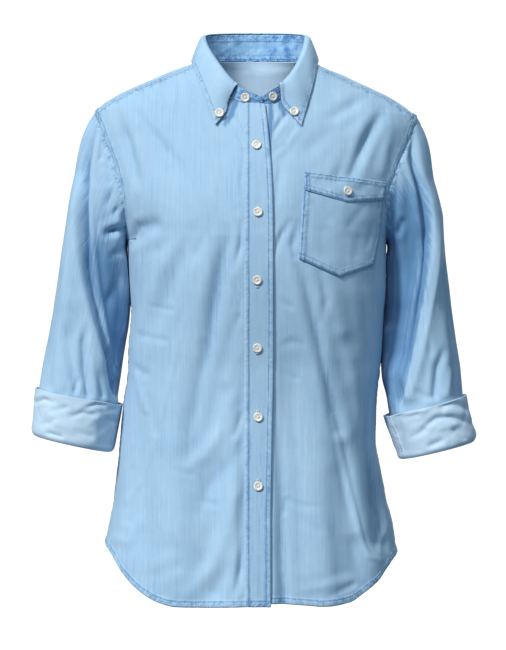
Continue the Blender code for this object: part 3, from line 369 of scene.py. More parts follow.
def front_grid(side, sub=1):
    top = TOP_RIGHT if side < 0 else TOP_LEFT
    hem = hem_r if side < 0 else hem_l
    last = len(top) - 1
    base = np.arange(last + 1)
    top_x = Curve(base, [t[0] for t in top])
    levels = [t[1] if t[1] is not None else float(ridge(side, t[0])) - SEAM_DROP for t in top]
    neck_n = sum(1 for t in top if t[1] is not None)
    neck_z = Curve(base[:neck_n + 1], levels[:neck_n + 1])
    edge = top[0][0]
    cols = np.linspace(0, last, last * sub + 1)
    rows_a, rows_l = ROWS_ARM * sub, ROWS_LOW * sub
    z_side = arm_levels(side, float(ridge(side, TIP_X)) - SEAM_DROP, rows_a)
    share = (z_side[0] - z_side) / (z_side[0] - z_side[-1])

    def x_at(c, z):
        g_top = (top_x(c) - edge) / (TIP_X - edge)
        g_low = np.sin(radians(90) * c / last)
        g = g_top + (g_low - g_top) * smooth((-58.0 - z) / 158.0)
        return edge + (np.where(z > -54.0, TIP_X, armhole(side, z)) - edge) * g

    xs, zs = [], []
    for c in cols:
        if c < neck_n:
            z0 = float(neck_z(c))
        else:
            z0 = float(ridge(side, top_x(c))) - SEAM_DROP
        if c >= last - 1e-9:
            z0 = z_side[0]
        g = c / last
        f = np.linspace(0, 1, rows_a + 1)
        f = f + (share - f) * g ** 3
        z = list(z0 + (ARMPIT_Z - z0) * f)
        z += list(ARMPIT_Z + (float(hem(sin(radians(90) * g))) - ARMPIT_Z) * np.linspace(0, 1, rows_l + 1)[1:])
        z = np.array(z)
        xs.append(side * x_at(np.full_like(z, c), z))
        zs.append(z)
    # the two columns under the placket
    extra = 2 * sub
    first_z = zs[0]
    for k in range(1, extra + 1):
        t = k / extra
        z0 = first_z[0] + (-51.8 - first_z[0]) * t
        z = first_z.copy()
        z[:rows_a + 1] = z0 + (ARMPIT_Z - z0) * np.linspace(0, 1, rows_a + 1)
        end = placket_edge(z) if side < 0 else under_edge(z)
        xs.insert(0, side * edge + (end - side * edge) * t)
        zs.insert(0, z)
    return np.array(xs).T, np.array(zs).T, rows_a


def back_grid(sub=1):
    n = 12 * sub
    rows_a, rows_l = ROWS_BACK * sub, ROWS_LOW * sub
    cols = np.arange(-n, n + 1) / n
    xs, zs = [], []
    for f in cols:
        side = -1 if f < 0 else 1
        z_side = arm_levels(side, YOKE_BACK_Z, rows_a, True)
        share = (z_side[0] - z_side) / (z_side[0] - z_side[-1])
        u = np.linspace(0, 1, rows_a + 1)
        u = u + (share - u) * abs(f) ** 3
        z = list(YOKE_BACK_Z + (ARMPIT_Z - YOKE_BACK_Z) * u)
        low = np.sin(radians(90) * abs(f))
        hem = float(hem_r(low) if f < 0 else hem_l(low))
        mid = 0.5 * float(hem_r(0.0) + hem_l(0.0))
        hem = mid + (hem - mid) * float(smooth(abs(f) / 0.25))
        z += list(ARMPIT_Z + (hem - ARMPIT_Z) * np.linspace(0, 1, rows_l + 1)[1:])
        z = np.array(z)
        g = abs(f) + (low - abs(f)) * smooth((YOKE_BACK_Z - z) / 120.0)
        xs.append(side * g * armhole(side, z, True))
        zs.append(z)
    return np.array(xs).T, np.array(zs).T, rows_a


def yoke_grid(sub=1):
    """Points and normals over the shoulders: front seam, ridge, back seam."""
    half = [(x, z) for x, z in NECK_BACK]
    side_cols = [t[0] for t in TOP_RIGHT if t[1] is None]
    count = len(half) - 1 + len(side_cols)
    n = count * sub
    rows = ROWS_YOKE * sub
    px = [h[0] for h in half] + side_cols
    top_x = Curve(range(len(px)), px)
    pts, nor = [], []
    for i in range(-n, n + 1):
        c = abs(i) / sub
        side = -1 if i < 0 else 1
        x_t = float(top_x(c))
        drops = []
        for k, (hx, hz) in enumerate(half):
            drops.append(sqrt(float(ridge(side, hx)) - hz) if hz is not None else 0.0)
        drops += [-sqrt(SEAM_DROP)] * len(side_cols)
        s0 = float(Curve(range(len(drops)), drops)(c)) if c > len(half) - 1 else float(Curve(range(len(half)), drops[:len(half)])(c))
        f_t, f_b = x_t / TIP_X, c / count
        s1 = sqrt(float(ridge(side, f_b * TIP_X)) - YOKE_BACK_Z)
        u = np.linspace(0, 1, rows + 1)
        f = f_t + (f_b - f_t) * smooth(u)
        s = s0 + (s1 - s0) * u
        z = ridge(side, f * TIP_X) - s * s
        x = side * f * np.where(s < 0, armhole(side, np.minimum(z, -54.0)), armhole(side, np.minimum(z, -54.0), True))
        y = np.where(s < 0, body_y(True, x, z), body_y(False, x, z))
        on = np.abs(s) < 1e-9
        y = np.where(on, 0.0, y)
        pts.append(np.stack([x, y, z], -1))
        nor.append(body_normal(x, y, z))
    return np.array(pts).transpose(1, 0, 2), np.array(nor).transpose(1, 0, 2)


def unit(v):
    return v / np.maximum(np.linalg.norm(v, axis=-1, keepdims=True), 1e-12)


def pull_in(p, n, top=False, bottom=False, left=False, right=False, by=GAP / 2):
    """Move a panel's border back from the seam, along the cloth."""
    q = p.copy()
    for name, on in (('top', top), ('bottom', bottom), ('left', left), ('right', right)):
        if not on:
            continue
        if name in ('top', 'bottom'):
            r, inner = (0, 1) if name == 'top' else (-1, -2)
            edge, inside, nn = p[r], p[inner], n[r]
        else:
            r, inner = (0, 1) if name == 'left' else (-1, -2)
            edge, inside, nn = p[:, r], p[:, inner], n[:, r]
        tangent = np.gradient(edge, axis=0)
        d = unit(np.cross(unit(nn), tangent))
        flip = np.sign(np.sum(d * (inside - edge), -1, keepdims=True))
        d = d * np.where(flip == 0, 1, flip)
        if name in ('top', 'bottom'):
            q[r] = q[r] + d * by
        else:
            q[:, r] = q[:, r] + d * by
    return q


def tube_ring(row, side, angles, grow=0.0):
    x, y, z, hw, hd, tilt = row
    e1 = np.array([side * cos(radians(tilt)), 0, sin(radians(tilt))])
    e2 = np.array([0, -1.0, 0])
    c, s = np.cos(angles), np.sin(angles)
    k = 2 / 2.25
    c, s = np.sign(c) * np.abs(c) ** k, np.sign(s) * np.abs(s) ** k
    return np.array([x, y, z]) + np.outer(c * (hw + grow), e1) + np.outer(s * (hd + grow), e2)


def clear_body(side, p, gap, start):
    """Keep a sleeve point just clear of the side of the body."""
    q = p.copy()
    x, y, z = p[..., 0], p[..., 1], p[..., 2]
    zz = np.minimum(z, ARMPIT_Z)
    c, a = section(zz)
    n = square(zz)
    d = np.where(y < 0, depth_f(zz), depth_b(zz))
    r = np.clip(1 - np.clip(np.abs(y) / d, 0, 1) ** n, 0, 1) ** (1 / n)
    wall = side * c + a * r
    need = wall + gap * smooth((start - z) / 14.0)
    have = side * x
    soft = 3.0
    t = np.clip((have - need) / soft, -1.0, 1.0)
    pushed = np.where(have - need < -soft, need, np.where(have - need > soft, have, need + soft * (t + 1) ** 2 / 4))
    live = smooth((start + 1.0 - z) / 6.0)
    q[..., 0] = side * (have + (np.maximum(pushed, have) - have) * live)
    return q


def sleeve_surface(side, loop, angles, sub=1, folds=True):
    table = SLEEVE_RIGHT if side < 0 else SLEEVE_LEFT
    rows = [column([(i,) + r for i, r in enumerate(table)], 0, k + 1) for k in range(6)]
    at = lambda t: tuple(float(f(t)) for f in rows)
    first = tube_ring(at(0), side, angles)
    down = unit(tube_ring(at(0.05), side, angles) - first)
    chord = np.linalg.norm(first - loop, axis=1)
    turn = (1 - np.cos(angles)) / 2              # 0 outside, 1 under the arm
    start = unit(np.stack([side * (0.62 + 0.38 * turn), -0.18 * np.sin(angles), -0.80 * (1 - turn) - 0.05], -1))
    h0 = chord * (0.30 - 0.22 * turn)
    h1 = chord * (0.42 - 0.12 * turn)
    n_cap, n_tube = RINGS_CAP * sub, RINGS_TUBE * sub
    rings = []
    for i in range(n_cap + 1):
        t = (i / n_cap) ** 1.15
        b0, b1, b2, b3 = (1 - t) ** 3, 3 * t * (1 - t) ** 2, 3 * t * t * (1 - t), t ** 3
        rings.append(b0 * loop + b1 * (loop + start * h0[:, None]) + b2 * (first - down * h1[:, None]) + b3 * first)
    for i in range(1, n_tube + 1):
        rings.append(tube_ring(at((len(table) - 1) * i / n_tube), side, angles))
    p = np.array(rings)
    q = p.copy()
    q[1:] = clear_body(side, p[1:], 2.3, ARMPIT_Z)
    n = ring_normals(q, side)
    if folds:
        deg = np.degrees(angles)[None, :]
        table_f = FOLDS_SLEEVE_RIGHT if side < 0 else FOLDS_SLEEVE_LEFT
        total = np.zeros(q.shape[:2])
        for a0, z0, a1, z1, width, depth in table_f:
            # angles become lengths round a sleeve of about 54 mm radius
            total = total + fold_sum([(a0 * 0.94, z0, a1 * 0.94, z1, width, depth)], deg * 0.94, q[..., 2])
        away = smooth((side * q[..., 0] - (outline(side, np.minimum(q[..., 2], ARMPIT_Z)) + 5)) / 18.0)
        ends = smooth(np.arange(len(q)) / (2.0 * sub))[:, None] * smooth((len(q) - 1 - np.arange(len(q))) / (2.0 * sub))[:, None]
        q = q - n * (total * away * ends)[..., None]
    return q, n


def ring_normals(p, side):
    along = np.gradient(p, axis=0)
    around = (np.roll(p, -1, axis=1) - np.roll(p, 1, axis=1))
    n = unit(np.cross(along, around))
    centre = p.mean(axis=1, keepdims=True)
    flip = np.sign(np.sum(n * (p - centre), -1).sum(axis=1, keepdims=True))[..., None]
    return n * np.where(flip == 0, 1, flip)




# ================================================================ looks
def cum(p, axis=0):
    d = np.linalg.norm(np.diff(p, axis=axis), axis=-1)
    z = np.zeros_like(np.take(d, [0], axis=axis))
    return np.concatenate([z, np.cumsum(d, axis=axis)], axis=axis)


def hash2(i, j, seed):
    h = np.sin(i * 127.1 + j * 311.7 + seed * 74.7) * 43758.5453
    return h - np.floor(h)


def noise2(x, y, seed=0):
    """Smooth value noise between -1 and 1."""
    x, y = np.broadcast_arrays(np.asarray(x, float), np.asarray(y, float))
    i, j = np.floor(x), np.floor(y)
    u, v = x - i, y - j
    u, v = u * u * u * (u * (6 * u - 15) + 10), v * v * v * (v * (6 * v - 15) + 10)
    a, b = hash2(i, j, seed), hash2(i + 1, j, seed)
    c, d = hash2(i, j + 1, seed), hash2(i + 1, j + 1, seed)
    return 2 * ((a * (1 - u) + b * u) * (1 - v) + (c * (1 - u) + d * u) * v) - 1


def fbm(x, y, seed, n=3):
    t, a = 0, 1.0
    for k in range(n):
        t = t + a * noise2(x * 2 ** k + 17.3 * k, y * 2 ** k - 9.1 * k, seed + k)
        a *= 0.5
    return t


def lines(lo, hi, step, near=(), fine=0.05, reach=0.5):
    """Grid lines between lo and hi, closer together beside the values in near."""
    out, x = [lo], lo
    while x < hi - 1e-9:
        s = step
        for n in near:
            d = abs(x - n)
            if d < reach + 1e-9 or (x < n and x + step > n - reach):
                s = min(s, fine if d < reach else max(fine, min(step, n - reach - x)))
        x = min(hi, x + s)
        if hi - x < 0.3 * s:
            x = hi
        out.append(x)
    for n in near:
        if lo < n < hi and min(abs(o - n) for o in out) > 1e-6:
            k = int(np.argmin([abs(o - n) for o in out]))
            if 0 < k < len(out) - 1:
                out[k] = n
    return np.array(sorted(set(round(o, 7) for o in out)))


class Cloth:
    """A grid of points on a cloth's middle, with its normals and seams."""

    def __init__(self, p, n, grain, closed=False):
        self.p, self.n, self.grain, self.closed = p.copy(), n.copy(), grain, closed
        # the wear value holds the cloth's real fading and roping, and also painted shade: in the folds, beside the
        # collar's edges, on the stand's left end and on the sleeves' inner sides
        self.wear_and_shade = np.zeros(p.shape[:2])
        self.near = np.full(p.shape[:2], 60.0)
        self.run = np.zeros(p.shape[:2])
        self.gain = np.zeros(p.shape[:2])
        self.base = p.copy()
        self.along_r = cum(p, 0)
        self.along_c = cum(p, 1)

    def dist(self, side):
        """Distance from a border, and the position along it."""
        if side == 'top':
            return self.along_r, np.broadcast_to(self.along_c[0:1, :], self.wear_and_shade.shape)
        if side == 'bottom':
            return self.along_r[-1:, :] - self.along_r, np.broadcast_to(self.along_c[-1:, :], self.wear_and_shade.shape)
        if side == 'left':
            return self.along_c, np.broadcast_to(self.along_r[:, 0:1], self.wear_and_shade.shape)
        return self.along_c[:, -1:] - self.along_c, np.broadcast_to(self.along_r[:, -1:], self.wear_and_shade.shape)

    def move(self, depth):
        self.p = self.p - self.n * depth[..., None]

    def seam(self, side, width=7.0, height=0.6, pucker=0.45, wave=6.5, skew=0.5, groove=0.35, stitches=(6.0,), mask=None, seed=1, reach=None, rope=0.8, edge=0.0):
        """Raised, stitched and puckered band along a border."""
        d, s = self.dist(side)
        m = 1.0 if mask is None else mask
        reach = reach or width
        plateau = smooth(d / 0.9) * (1 - smooth((d - width + 0.4) / 1.4)) * height
        dip = sum(groove * np.exp(-((d - w) / 0.75) ** 2) for w in stitches)
        dipw = sum(np.exp(-((d - w) / 0.85) ** 2) for w in stitches) + 0 * d
        band = np.exp(-(np.maximum(d - width * 0.55, 0) / (reach * 0.75)) ** 2) * smooth(d / 1.2)
        wv = noise2((s + skew * d) / wave * 1.9, d / (width * 1.6), seed) * 0.8 + noise2((s - skew * d) / (wave * 0.55) * 1.7, d / width, seed + 5) * 0.45
        amp = 0.6 + 0.4 * noise2(s / 45.0, 0.5, seed + 9)
        pk = wv * band * amp
        self.p = self.p + self.n * ((plateau - dip + pucker * pk) * m)[..., None]
        self.wear_and_shade = self.wear_and_shade + (pk * 1.15 - band * 0.06) * m * rope - m * dipw * 1.5 + m * edge * np.exp(-(d / 1.3) ** 2)
        hit = (d < self.near) & (np.broadcast_to(m, d.shape) > 0.05)
        self.near = np.where(hit, d, self.near)
        self.gain = np.where(hit, rope, self.gain)
        self.run = np.where(hit, s, self.run)

    def line(self, side, at, start=0.0, end=None):
        """Points and normals on the surface at a distance from a border."""
        d, s = self.dist(side)
        if side in ('top', 'bottom'):
            P, N, D, S = self.p.transpose(1, 0, 2), self.n.transpose(1, 0, 2), d.T, s.T
        else:
            P, N, D, S = self.p, self.n, d, s
        pts, nor, ss = [], [], []
        for k in range(P.shape[0]):
            dk = D[k]
            o = np.argsort(dk)
            if at > dk.max() or (S[k, 0] < start) or (end is not None and S[k, 0] > end):
                continue
            pts.append([np.interp(at, dk[o], P[k, o, a]) for a in range(3)])
            nor.append([np.interp(at, dk[o], N[k, o, a]) for a in range(3)])
        return np.array(pts), unit(np.array(nor)) if nor else np.array(nor)


stitch_runs = []


def build(name, cloth, thickness, mats, face_flip=False, node=None):
    """Solid shell of a Cloth: right side, wrong side and rims."""
    p, n = cloth.p, cloth.n
    rows, cols = p.shape[:2]
    # follow the real surface, so that the wall keeps its thickness in folds
    du = np.gradient(p, axis=1) if not cloth.closed else (np.roll(p, -1, 1) - np.roll(p, 1, 1)) / 2
    dv = np.gradient(p, axis=0)
    real = np.cross(dv, du)
    real = real * np.sign(np.sum(real * n, -1, keepdims=True) + 1e-12)
    real = unit(real)
    ok = np.sum(real * n, -1, keepdims=True) > 0.35
    real = np.where(ok, real, n)
    off = real * thickness / 2
    outer, inner = (p + off) * MM, (p - off) * MM
    wide = cols if cloth.closed else cols - 1
    r, c = np.meshgrid(np.arange(rows - 1), np.arange(wide), indexing='ij')
    r, c = r.ravel(), c.ravel()
    c1 = (c + 1) % cols
    half = rows * cols
    a, b, d, e = r * cols + c, r * cols + c1, (r + 1) * cols + c, (r + 1) * cols + c1
    quads = [np.stack([a, d, e, b], 1), half + np.stack([a, b, e, d], 1)]
    kinds = [np.zeros(len(a), int), np.ones(len(a), int)]
    cc = np.arange(wide)
    cc1 = (cc + 1) % cols
    rim = [np.stack([cc, cc1, half + cc1, half + cc], 1)]
    l = (rows - 1) * cols
    rim.append(np.stack([l + cc1, l + cc, half + l + cc, half + l + cc1], 1))
    if not cloth.closed:
        rr = np.arange(rows - 1)
        rim.append(np.stack([(rr + 1) * cols, rr * cols, half + rr * cols, half + (rr + 1) * cols], 1))
        x = cols - 1
        rim.append(np.stack([rr * cols + x, (rr + 1) * cols + x, half + (rr + 1) * cols + x, half + rr * cols + x], 1))
    rim = np.concatenate(rim)
    quads.append(rim)
    kinds.append(np.full(len(rim), 0))
    quads, kinds = np.concatenate(quads), np.concatenate(kinds)
    # which way round the right side faces
    k = len(a) // 2
    q = quads[k]
    v = outer.reshape(-1, 3)
    fn = np.cross(v[q[1]] - v[q[0]], v[q[2]] - v[q[0]])
    if np.dot(fn, n.reshape(-1, 3)[q[0]]) < 0:
        quads = quads[:, ::-1]
    mesh = bpy.data.meshes.new(name)
    verts = np.concatenate([outer.reshape(-1, 3), inner.reshape(-1, 3)])
    mesh.vertices.add(len(verts))
    mesh.vertices.foreach_set('co', verts.astype(np.float32).ravel())
    mesh.loops.add(quads.size)
    mesh.loops.foreach_set('vertex_index', quads.astype(np.int32).ravel())
    mesh.polygons.add(len(quads))
    mesh.polygons.foreach_set('loop_start', np.arange(0, quads.size, 4, dtype=np.int32))
    mesh.polygons.foreach_set('loop_total', np.full(len(quads), 4, dtype=np.int32))
    mesh.update(calc_edges=True)
    mesh.polygons.foreach_set('material_index', kinds.astype(np.int32))
    mesh.polygons.foreach_set('use_smooth', np.ones(len(quads), bool))
    g = np.concatenate([cloth.grain.reshape(-1, 2)] * 2)
    gain = np.concatenate([cloth.gain.ravel()] * 2)
    g3 = np.concatenate([g, gain[:, None]], 1)
    at = mesh.attributes.new('grain', 'FLOAT_VECTOR', 'POINT')
    at.data.foreach_set('vector', g3.astype(np.float32).ravel())
    s3 = np.stack([cloth.near, cloth.run, cloth.wear_and_shade], -1).reshape(-1, 3)
    s3 = np.concatenate([s3, s3])
    at = mesh.attributes.new('seams', 'FLOAT_VECTOR', 'POINT')
    at.data.foreach_set('vector', s3.astype(np.float32).ravel())
    uv = mesh.uv_layers.new(name='UVMap')
    uv.data.foreach_set('uv', (g[quads.ravel()] * 0.001).astype(np.float32).ravel())
    mesh.validate()
    for m in mats:
        mesh.materials.append(m)
    ob = bpy.data.objects.new(name, mesh)
    scene.collection.objects.link(ob)
    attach(ob, 'root')
    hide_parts(node)
    return ob


def add_stitches(pts, nor, length=2.5, gap=0.9, radius=0.26, lift=0.12, phase=0.0, kind='pale'):
    """Remember a row of stitches along a path in millimetres."""
    if len(pts) > 3:
        stitch_runs.append((np.array(pts), np.array(nor), length, gap, radius, lift, phase, kind))


def tube_batch(a, b, up, radius, sides=5):
    """Short threads from a to b, both ends dipping into the cloth."""
    t = unit(b - a)
    side = unit(np.cross(t, up))
    nrm = np.cross(side, t)
    stations = ((0.0, -1.25, 0.75), (0.22, 0.15, 1.0), (0.78, 0.15, 1.0), (1.0, -1.25, 0.75))
    verts = []
    for f, lift, fat in stations:
        c = a + (b - a) * f + nrm * radius * lift
        for k in range(sides):
            w = 2 * pi * k / sides
            verts.append(c + (side * cos(w) + nrm * sin(w)) * radius * fat)
    verts = np.stack(verts, 1)                      # count, stations*sides, 3
    faces = []
    for s in range(len(stations) - 1):
        for k in range(sides):
            k1 = (k + 1) % sides
            faces.append((s * sides + k, s * sides + k1, (s + 1) * sides + k1, (s + 1) * sides + k))
    return verts, faces, sides, len(stations)


def thread_object(name, jobs, mat, sides=5):
    """One joined mesh of many short threads. jobs: (a, b, up, radius)."""
    vs, quads, caps, base = [], [], [], 0
    for a, b, up, radius in jobs:
        v, faces, s, st = tube_batch(a, b, up, radius, sides)
        cnt, per = v.shape[0], v.shape[1]
        vs.append(v.reshape(-1, 3))
        offs = base + np.arange(cnt)[:, None, None] * per
        quads.append((np.array(faces)[None] + offs).reshape(-1, 4))
        first = np.arange(s)[::-1][None] + offs[:, 0]
        last = ((st - 1) * s + np.arange(s))[None] + offs[:, 0]
        caps.append(np.concatenate([first, last]))
        base += cnt * per
    v = np.concatenate(vs) * MM
    quads, caps = np.concatenate(quads), np.concatenate(caps)
    mesh = bpy.data.meshes.new(name)
    mesh.vertices.add(len(v))
    mesh.vertices.foreach_set('co', v.astype(np.float32).ravel())
    loops = np.concatenate([quads.ravel(), caps.ravel()])
    total = np.concatenate([np.full(len(quads), 4), np.full(len(caps), caps.shape[1])])
    start = np.concatenate([[0], np.cumsum(total)[:-1]])
    mesh.loops.add(len(loops))
    mesh.loops.foreach_set('vertex_index', loops.astype(np.int32))
    mesh.polygons.add(len(total))
    mesh.polygons.foreach_set('loop_start', start.astype(np.int32))
    mesh.polygons.foreach_set('loop_total', total.astype(np.int32))
    mesh.update(calc_edges=True)
    mesh.polygons.foreach_set('use_smooth', np.ones(len(total), bool))
    mesh.validate()
    bm = bmesh.new()
    bm.from_mesh(mesh)
    bmesh.ops.recalc_face_normals(bm, faces=bm.faces)
    bm.to_mesh(mesh)
    bm.free()
    mesh.materials.append(mat)
    ob = bpy.data.objects.new(name, mesh)
    scene.collection.objects.link(ob)
    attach(ob, 'root')
    return ob


def stitch_jobs(kind):
    jobs = []
    for pts, nor, length, gap, radius, lift, phase, kd in stitch_runs:
        if kd != kind:
            continue
        run = np.concatenate([[0], np.cumsum(np.linalg.norm(np.diff(pts, axis=0), axis=1))])
        n = int((run[-1] - phase) // (length + gap))
        if n < 1:
            continue
        s0 = phase + np.arange(n) * (length + gap) + gap / 2
        j = noise2(s0 / 3.3, phase + 0.37, 31)
        s0 = s0 + j * 0.18
        s1 = s0 + length
        at = lambda s, arr: np.stack([np.interp(s, run, arr[:, k]) for k in range(3)], -1)
        a, b, u = at(s0, pts), at(s1, pts), unit(at((s0 + s1) / 2, nor))
        jobs.append((a + u * lift, b + u * lift, u, radius))
    return jobs


# ---------------------------------------------------------------- materials
def clear_nodes(name):
    m = bpy.data.materials.new(name)
    m.use_nodes = True
    nt = m.node_tree
    b = nt.nodes['Principled BSDF']
    return m, nt, b


def node(nt, kind, **kw):
    n = nt.nodes.new(kind)
    for k, v in kw.items():
        setattr(n, k, v)
    return n


def link_math(nt, op, a, b=None, c=None, clamp=False):
    n = nt.nodes.new('ShaderNodeMath')
    n.operation = op
    n.use_clamp = clamp
    for i, v in enumerate((a, b, c)):
        if v is None:
            continue
        if isinstance(v, (int, float)):
            n.inputs[i].default_value = v
        else:
            nt.links.new(v, n.inputs[i])
    return n.outputs[0]


def mix_colour(nt, f, a, b, blend='MIX'):
    n = nt.nodes.new('ShaderNodeMix')
    n.data_type = 'RGBA'
    n.blend_type = blend
    for sock, v in ((n.inputs[0], f), (n.inputs[6], a), (n.inputs[7], b)):
        if isinstance(v, (int, float)):
            sock.default_value = v
        elif isinstance(v, tuple):
            sock.default_value = v + (1,) if len(v) == 3 else v
        else:
            nt.links.new(v, sock)
    return n.outputs[2]


def noise_node(nt, vec, scale, detail=2.0, rough=0.5, dist=0.0):
    n = nt.nodes.new('ShaderNodeTexNoise')
    n.inputs['Scale'].default_value = scale
    n.inputs['Detail'].default_value = detail
    n.inputs['Roughness'].default_value = rough
    n.inputs['Distortion'].default_value = dist
    nt.links.new(vec, n.inputs['Vector'])
    return n.outputs['Fac']


def mapped(nt, vec, scale):
    n = nt.nodes.new('ShaderNodeMapping')
    n.inputs['Scale'].default_value = scale
    nt.links.new(vec, n.inputs['Vector'])
    return n.outputs['Vector']


def spread(nt, f, lo, hi, out_lo=0.0, out_hi=1.0):
    n = nt.nodes.new('ShaderNodeMapRange')
    n.interpolation_type = 'SMOOTHSTEP'
    nt.links.new(f, n.inputs[0])
    n.inputs[1].default_value, n.inputs[2].default_value = lo, hi
    n.inputs[3].default_value, n.inputs[4].default_value = out_lo, out_hi
    return n.outputs[0]


def denim(name, base, dark, light, streak=1.0, blotch=1.0, rope=1.0, bump=0.35):
    """Washed denim: slubs run with the grain, seams are roped dark and pale."""
    m, nt, b = clear_nodes(name)
    g = node(nt, 'ShaderNodeAttribute', attribute_name='grain').outputs['Vector']
    sm = node(nt, 'ShaderNodeAttribute', attribute_name='seams').outputs['Vector']
    sep = nt.nodes.new('ShaderNodeSeparateXYZ')
    nt.links.new(sm, sep.inputs[0])
    near, run, wear_and_shade = sep.outputs[0], sep.outputs[1], sep.outputs[2]
    sepg = nt.nodes.new('ShaderNodeSeparateXYZ')
    nt.links.new(g, sepg.inputs[0])
    gain = sepg.outputs[2]
    # long thin slubs with the warp, shorter ones with the weft
    s1 = noise_node(nt, mapped(nt, g, (1.15, 0.022, 0)), 1.0, 3.0, 0.62)
    s2 = noise_node(nt, mapped(nt, g, (0.42, 0.010, 0)), 1.0, 2.0, 0.5)
    s3 = noise_node(nt, mapped(nt, g, (0.10, 0.9, 0)), 1.0, 2.0, 0.5)
    soft = noise_node(nt, mapped(nt, g, (0.013, 0.009, 0)), 1.0, 3.0, 0.55)
    mottle = noise_node(nt, mapped(nt, g, (0.11, 0.07, 0)), 1.0, 3.0, 0.6)
    fine = noise_node(nt, mapped(nt, g, (2.2, 1.6, 0)), 1.0, 1.0, 0.5)
    t = link_math(nt, 'MULTIPLY', spread(nt, s1, 0.32, 0.68, -1, 1), 0.30 * streak)
    t = link_math(nt, 'MULTIPLY_ADD', spread(nt, s2, 0.35, 0.65, -1, 1), 0.26 * streak, t)
    t = link_math(nt, 'MULTIPLY_ADD', spread(nt, s3, 0.3, 0.7, -1, 1), 0.07 * streak, t)
    t = link_math(nt, 'MULTIPLY_ADD', spread(nt, soft, 0.3, 0.7, -1, 1), 0.22 * blotch, t)
    t = link_math(nt, 'MULTIPLY_ADD', spread(nt, mottle, 0.3, 0.7, -1, 1), 0.13 * blotch, t)
    t = link_math(nt, 'MULTIPLY_ADD', spread(nt, fine, 0.3, 0.7, -1, 1), 0.10 * streak, t)
    # roping beside the seams, finer than the mesh
    rv = nt.nodes.new('ShaderNodeCombineXYZ')
    slant = link_math(nt, 'MULTIPLY_ADD', near, 0.45, run)
    nt.links.new(slant, rv.inputs[0])
    nt.links.new(near, rv.inputs[1])
    rope_n = noise_node(nt, mapped(nt, rv.outputs[0], (0.30, 0.16, 1)), 1.0, 2.0, 0.55)
    close = link_math(nt, 'MULTIPLY', spread(nt, near, 3.0, 10.0, 1.0, 0.0), gain)
    rp = link_math(nt, 'MULTIPLY', spread(nt, rope_n, 0.30, 0.70, -1, 1), close)
    t = link_math(nt, 'MULTIPLY_ADD', rp, 0.62 * rope, t)
    # the wear value darkens or lightens the colour; besides real fading it carries painted shade from the folds, the
    # collar's edges and the sleeves' inner sides
    t = link_math(nt, 'MULTIPLY_ADD', wear_and_shade, 0.80 * rope, t)
    t = link_math(nt, 'MULTIPLY_ADD', close, -0.30 * rope, t)
    lo = spread(nt, t, -1.5, 0.0)
    hi = spread(nt, t, 0.0, 1.35)
    col = mix_colour(nt, lo, dark, base)
    col = mix_colour(nt, hi, col, light)
    nt.links.new(col, b.inputs['Base Color'])
    b.inputs['Roughness'].default_value = 0.88
    b.inputs['Specular IOR Level'].default_value = 0.22
    b.inputs['Sheen Weight'].default_value = 0.08
    b.inputs['Sheen Roughness'].default_value = 0.5
    # twill and slub relief
    tw = node(nt, 'ShaderNodeTexWave', wave_type='BANDS', bands_direction='DIAGONAL')
    nt.links.new(mapped(nt, g, (1.5, 1.1, 0)), tw.inputs['Vector'])
    tw.inputs['Scale'].default_value = 1.0
    tw.inputs['Distortion'].default_value = 1.2
    tw.inputs['Detail'].default_value = 1.0
    h = link_math(nt, 'MULTIPLY', tw.outputs['Fac'], 0.30)
    h = link_math(nt, 'MULTIPLY_ADD', s1, 0.7, h)
    h = link_math(nt, 'MULTIPLY_ADD', fine, 0.45, h)
    h = link_math(nt, 'MULTIPLY_ADD', mottle, 1.6, h)
    h = link_math(nt, 'MULTIPLY_ADD', rp, 2.6, h)
    bp = nt.nodes.new('ShaderNodeBump')
    bp.inputs['Strength'].default_value = bump
    bp.inputs['Distance'].default_value = 0.00035
    nt.links.new(h, bp.inputs['Height'])
    nt.links.new(bp.outputs[0], b.inputs['Normal'])
    return m


def plain(name, colour, rough, spec=0.4, metal=0.0):
    m, nt, b = clear_nodes(name)
    b.inputs['Base Color'].default_value = colour + (1,)
    b.inputs['Roughness'].default_value = rough
    b.inputs['Specular IOR Level'].default_value = spec
    b.inputs['Metallic'].default_value = metal
    return m, nt, b


scene = bpy.context.scene

DENIM = denim('denim_right_side', (0.335, 0.51, 0.685), (0.12, 0.26, 0.46), (0.53, 0.67, 0.79), streak=0.72, blotch=0.95)
DENIM_PLAIN = denim('denim_collar', (0.345, 0.52, 0.69), (0.12, 0.26, 0.46), (0.55, 0.68, 0.78), streak=0.45, blotch=0.9)
DENIM_BAND = denim('denim_neckband', (0.25, 0.46, 0.70), (0.07, 0.20, 0.44), (0.50, 0.68, 0.82), streak=0.4, blotch=2.6, rope=1.0)
DENIM_BACK = denim('denim_wrong_side', (0.475, 0.625, 0.77), (0.24, 0.39, 0.56), (0.65, 0.74, 0.82), streak=0.45, blotch=0.9, rope=0.6)
THREAD, _, _ = plain('thread_pale', (0.52, 0.64, 0.76), 0.75, 0.2)
THREAD_BLUE, _, _ = plain('thread_blue', (0.13, 0.27, 0.50), 0.75, 0.2)
THREAD_WHITE, _, _ = plain('thread_white', (0.80, 0.80, 0.76), 0.7, 0.2)

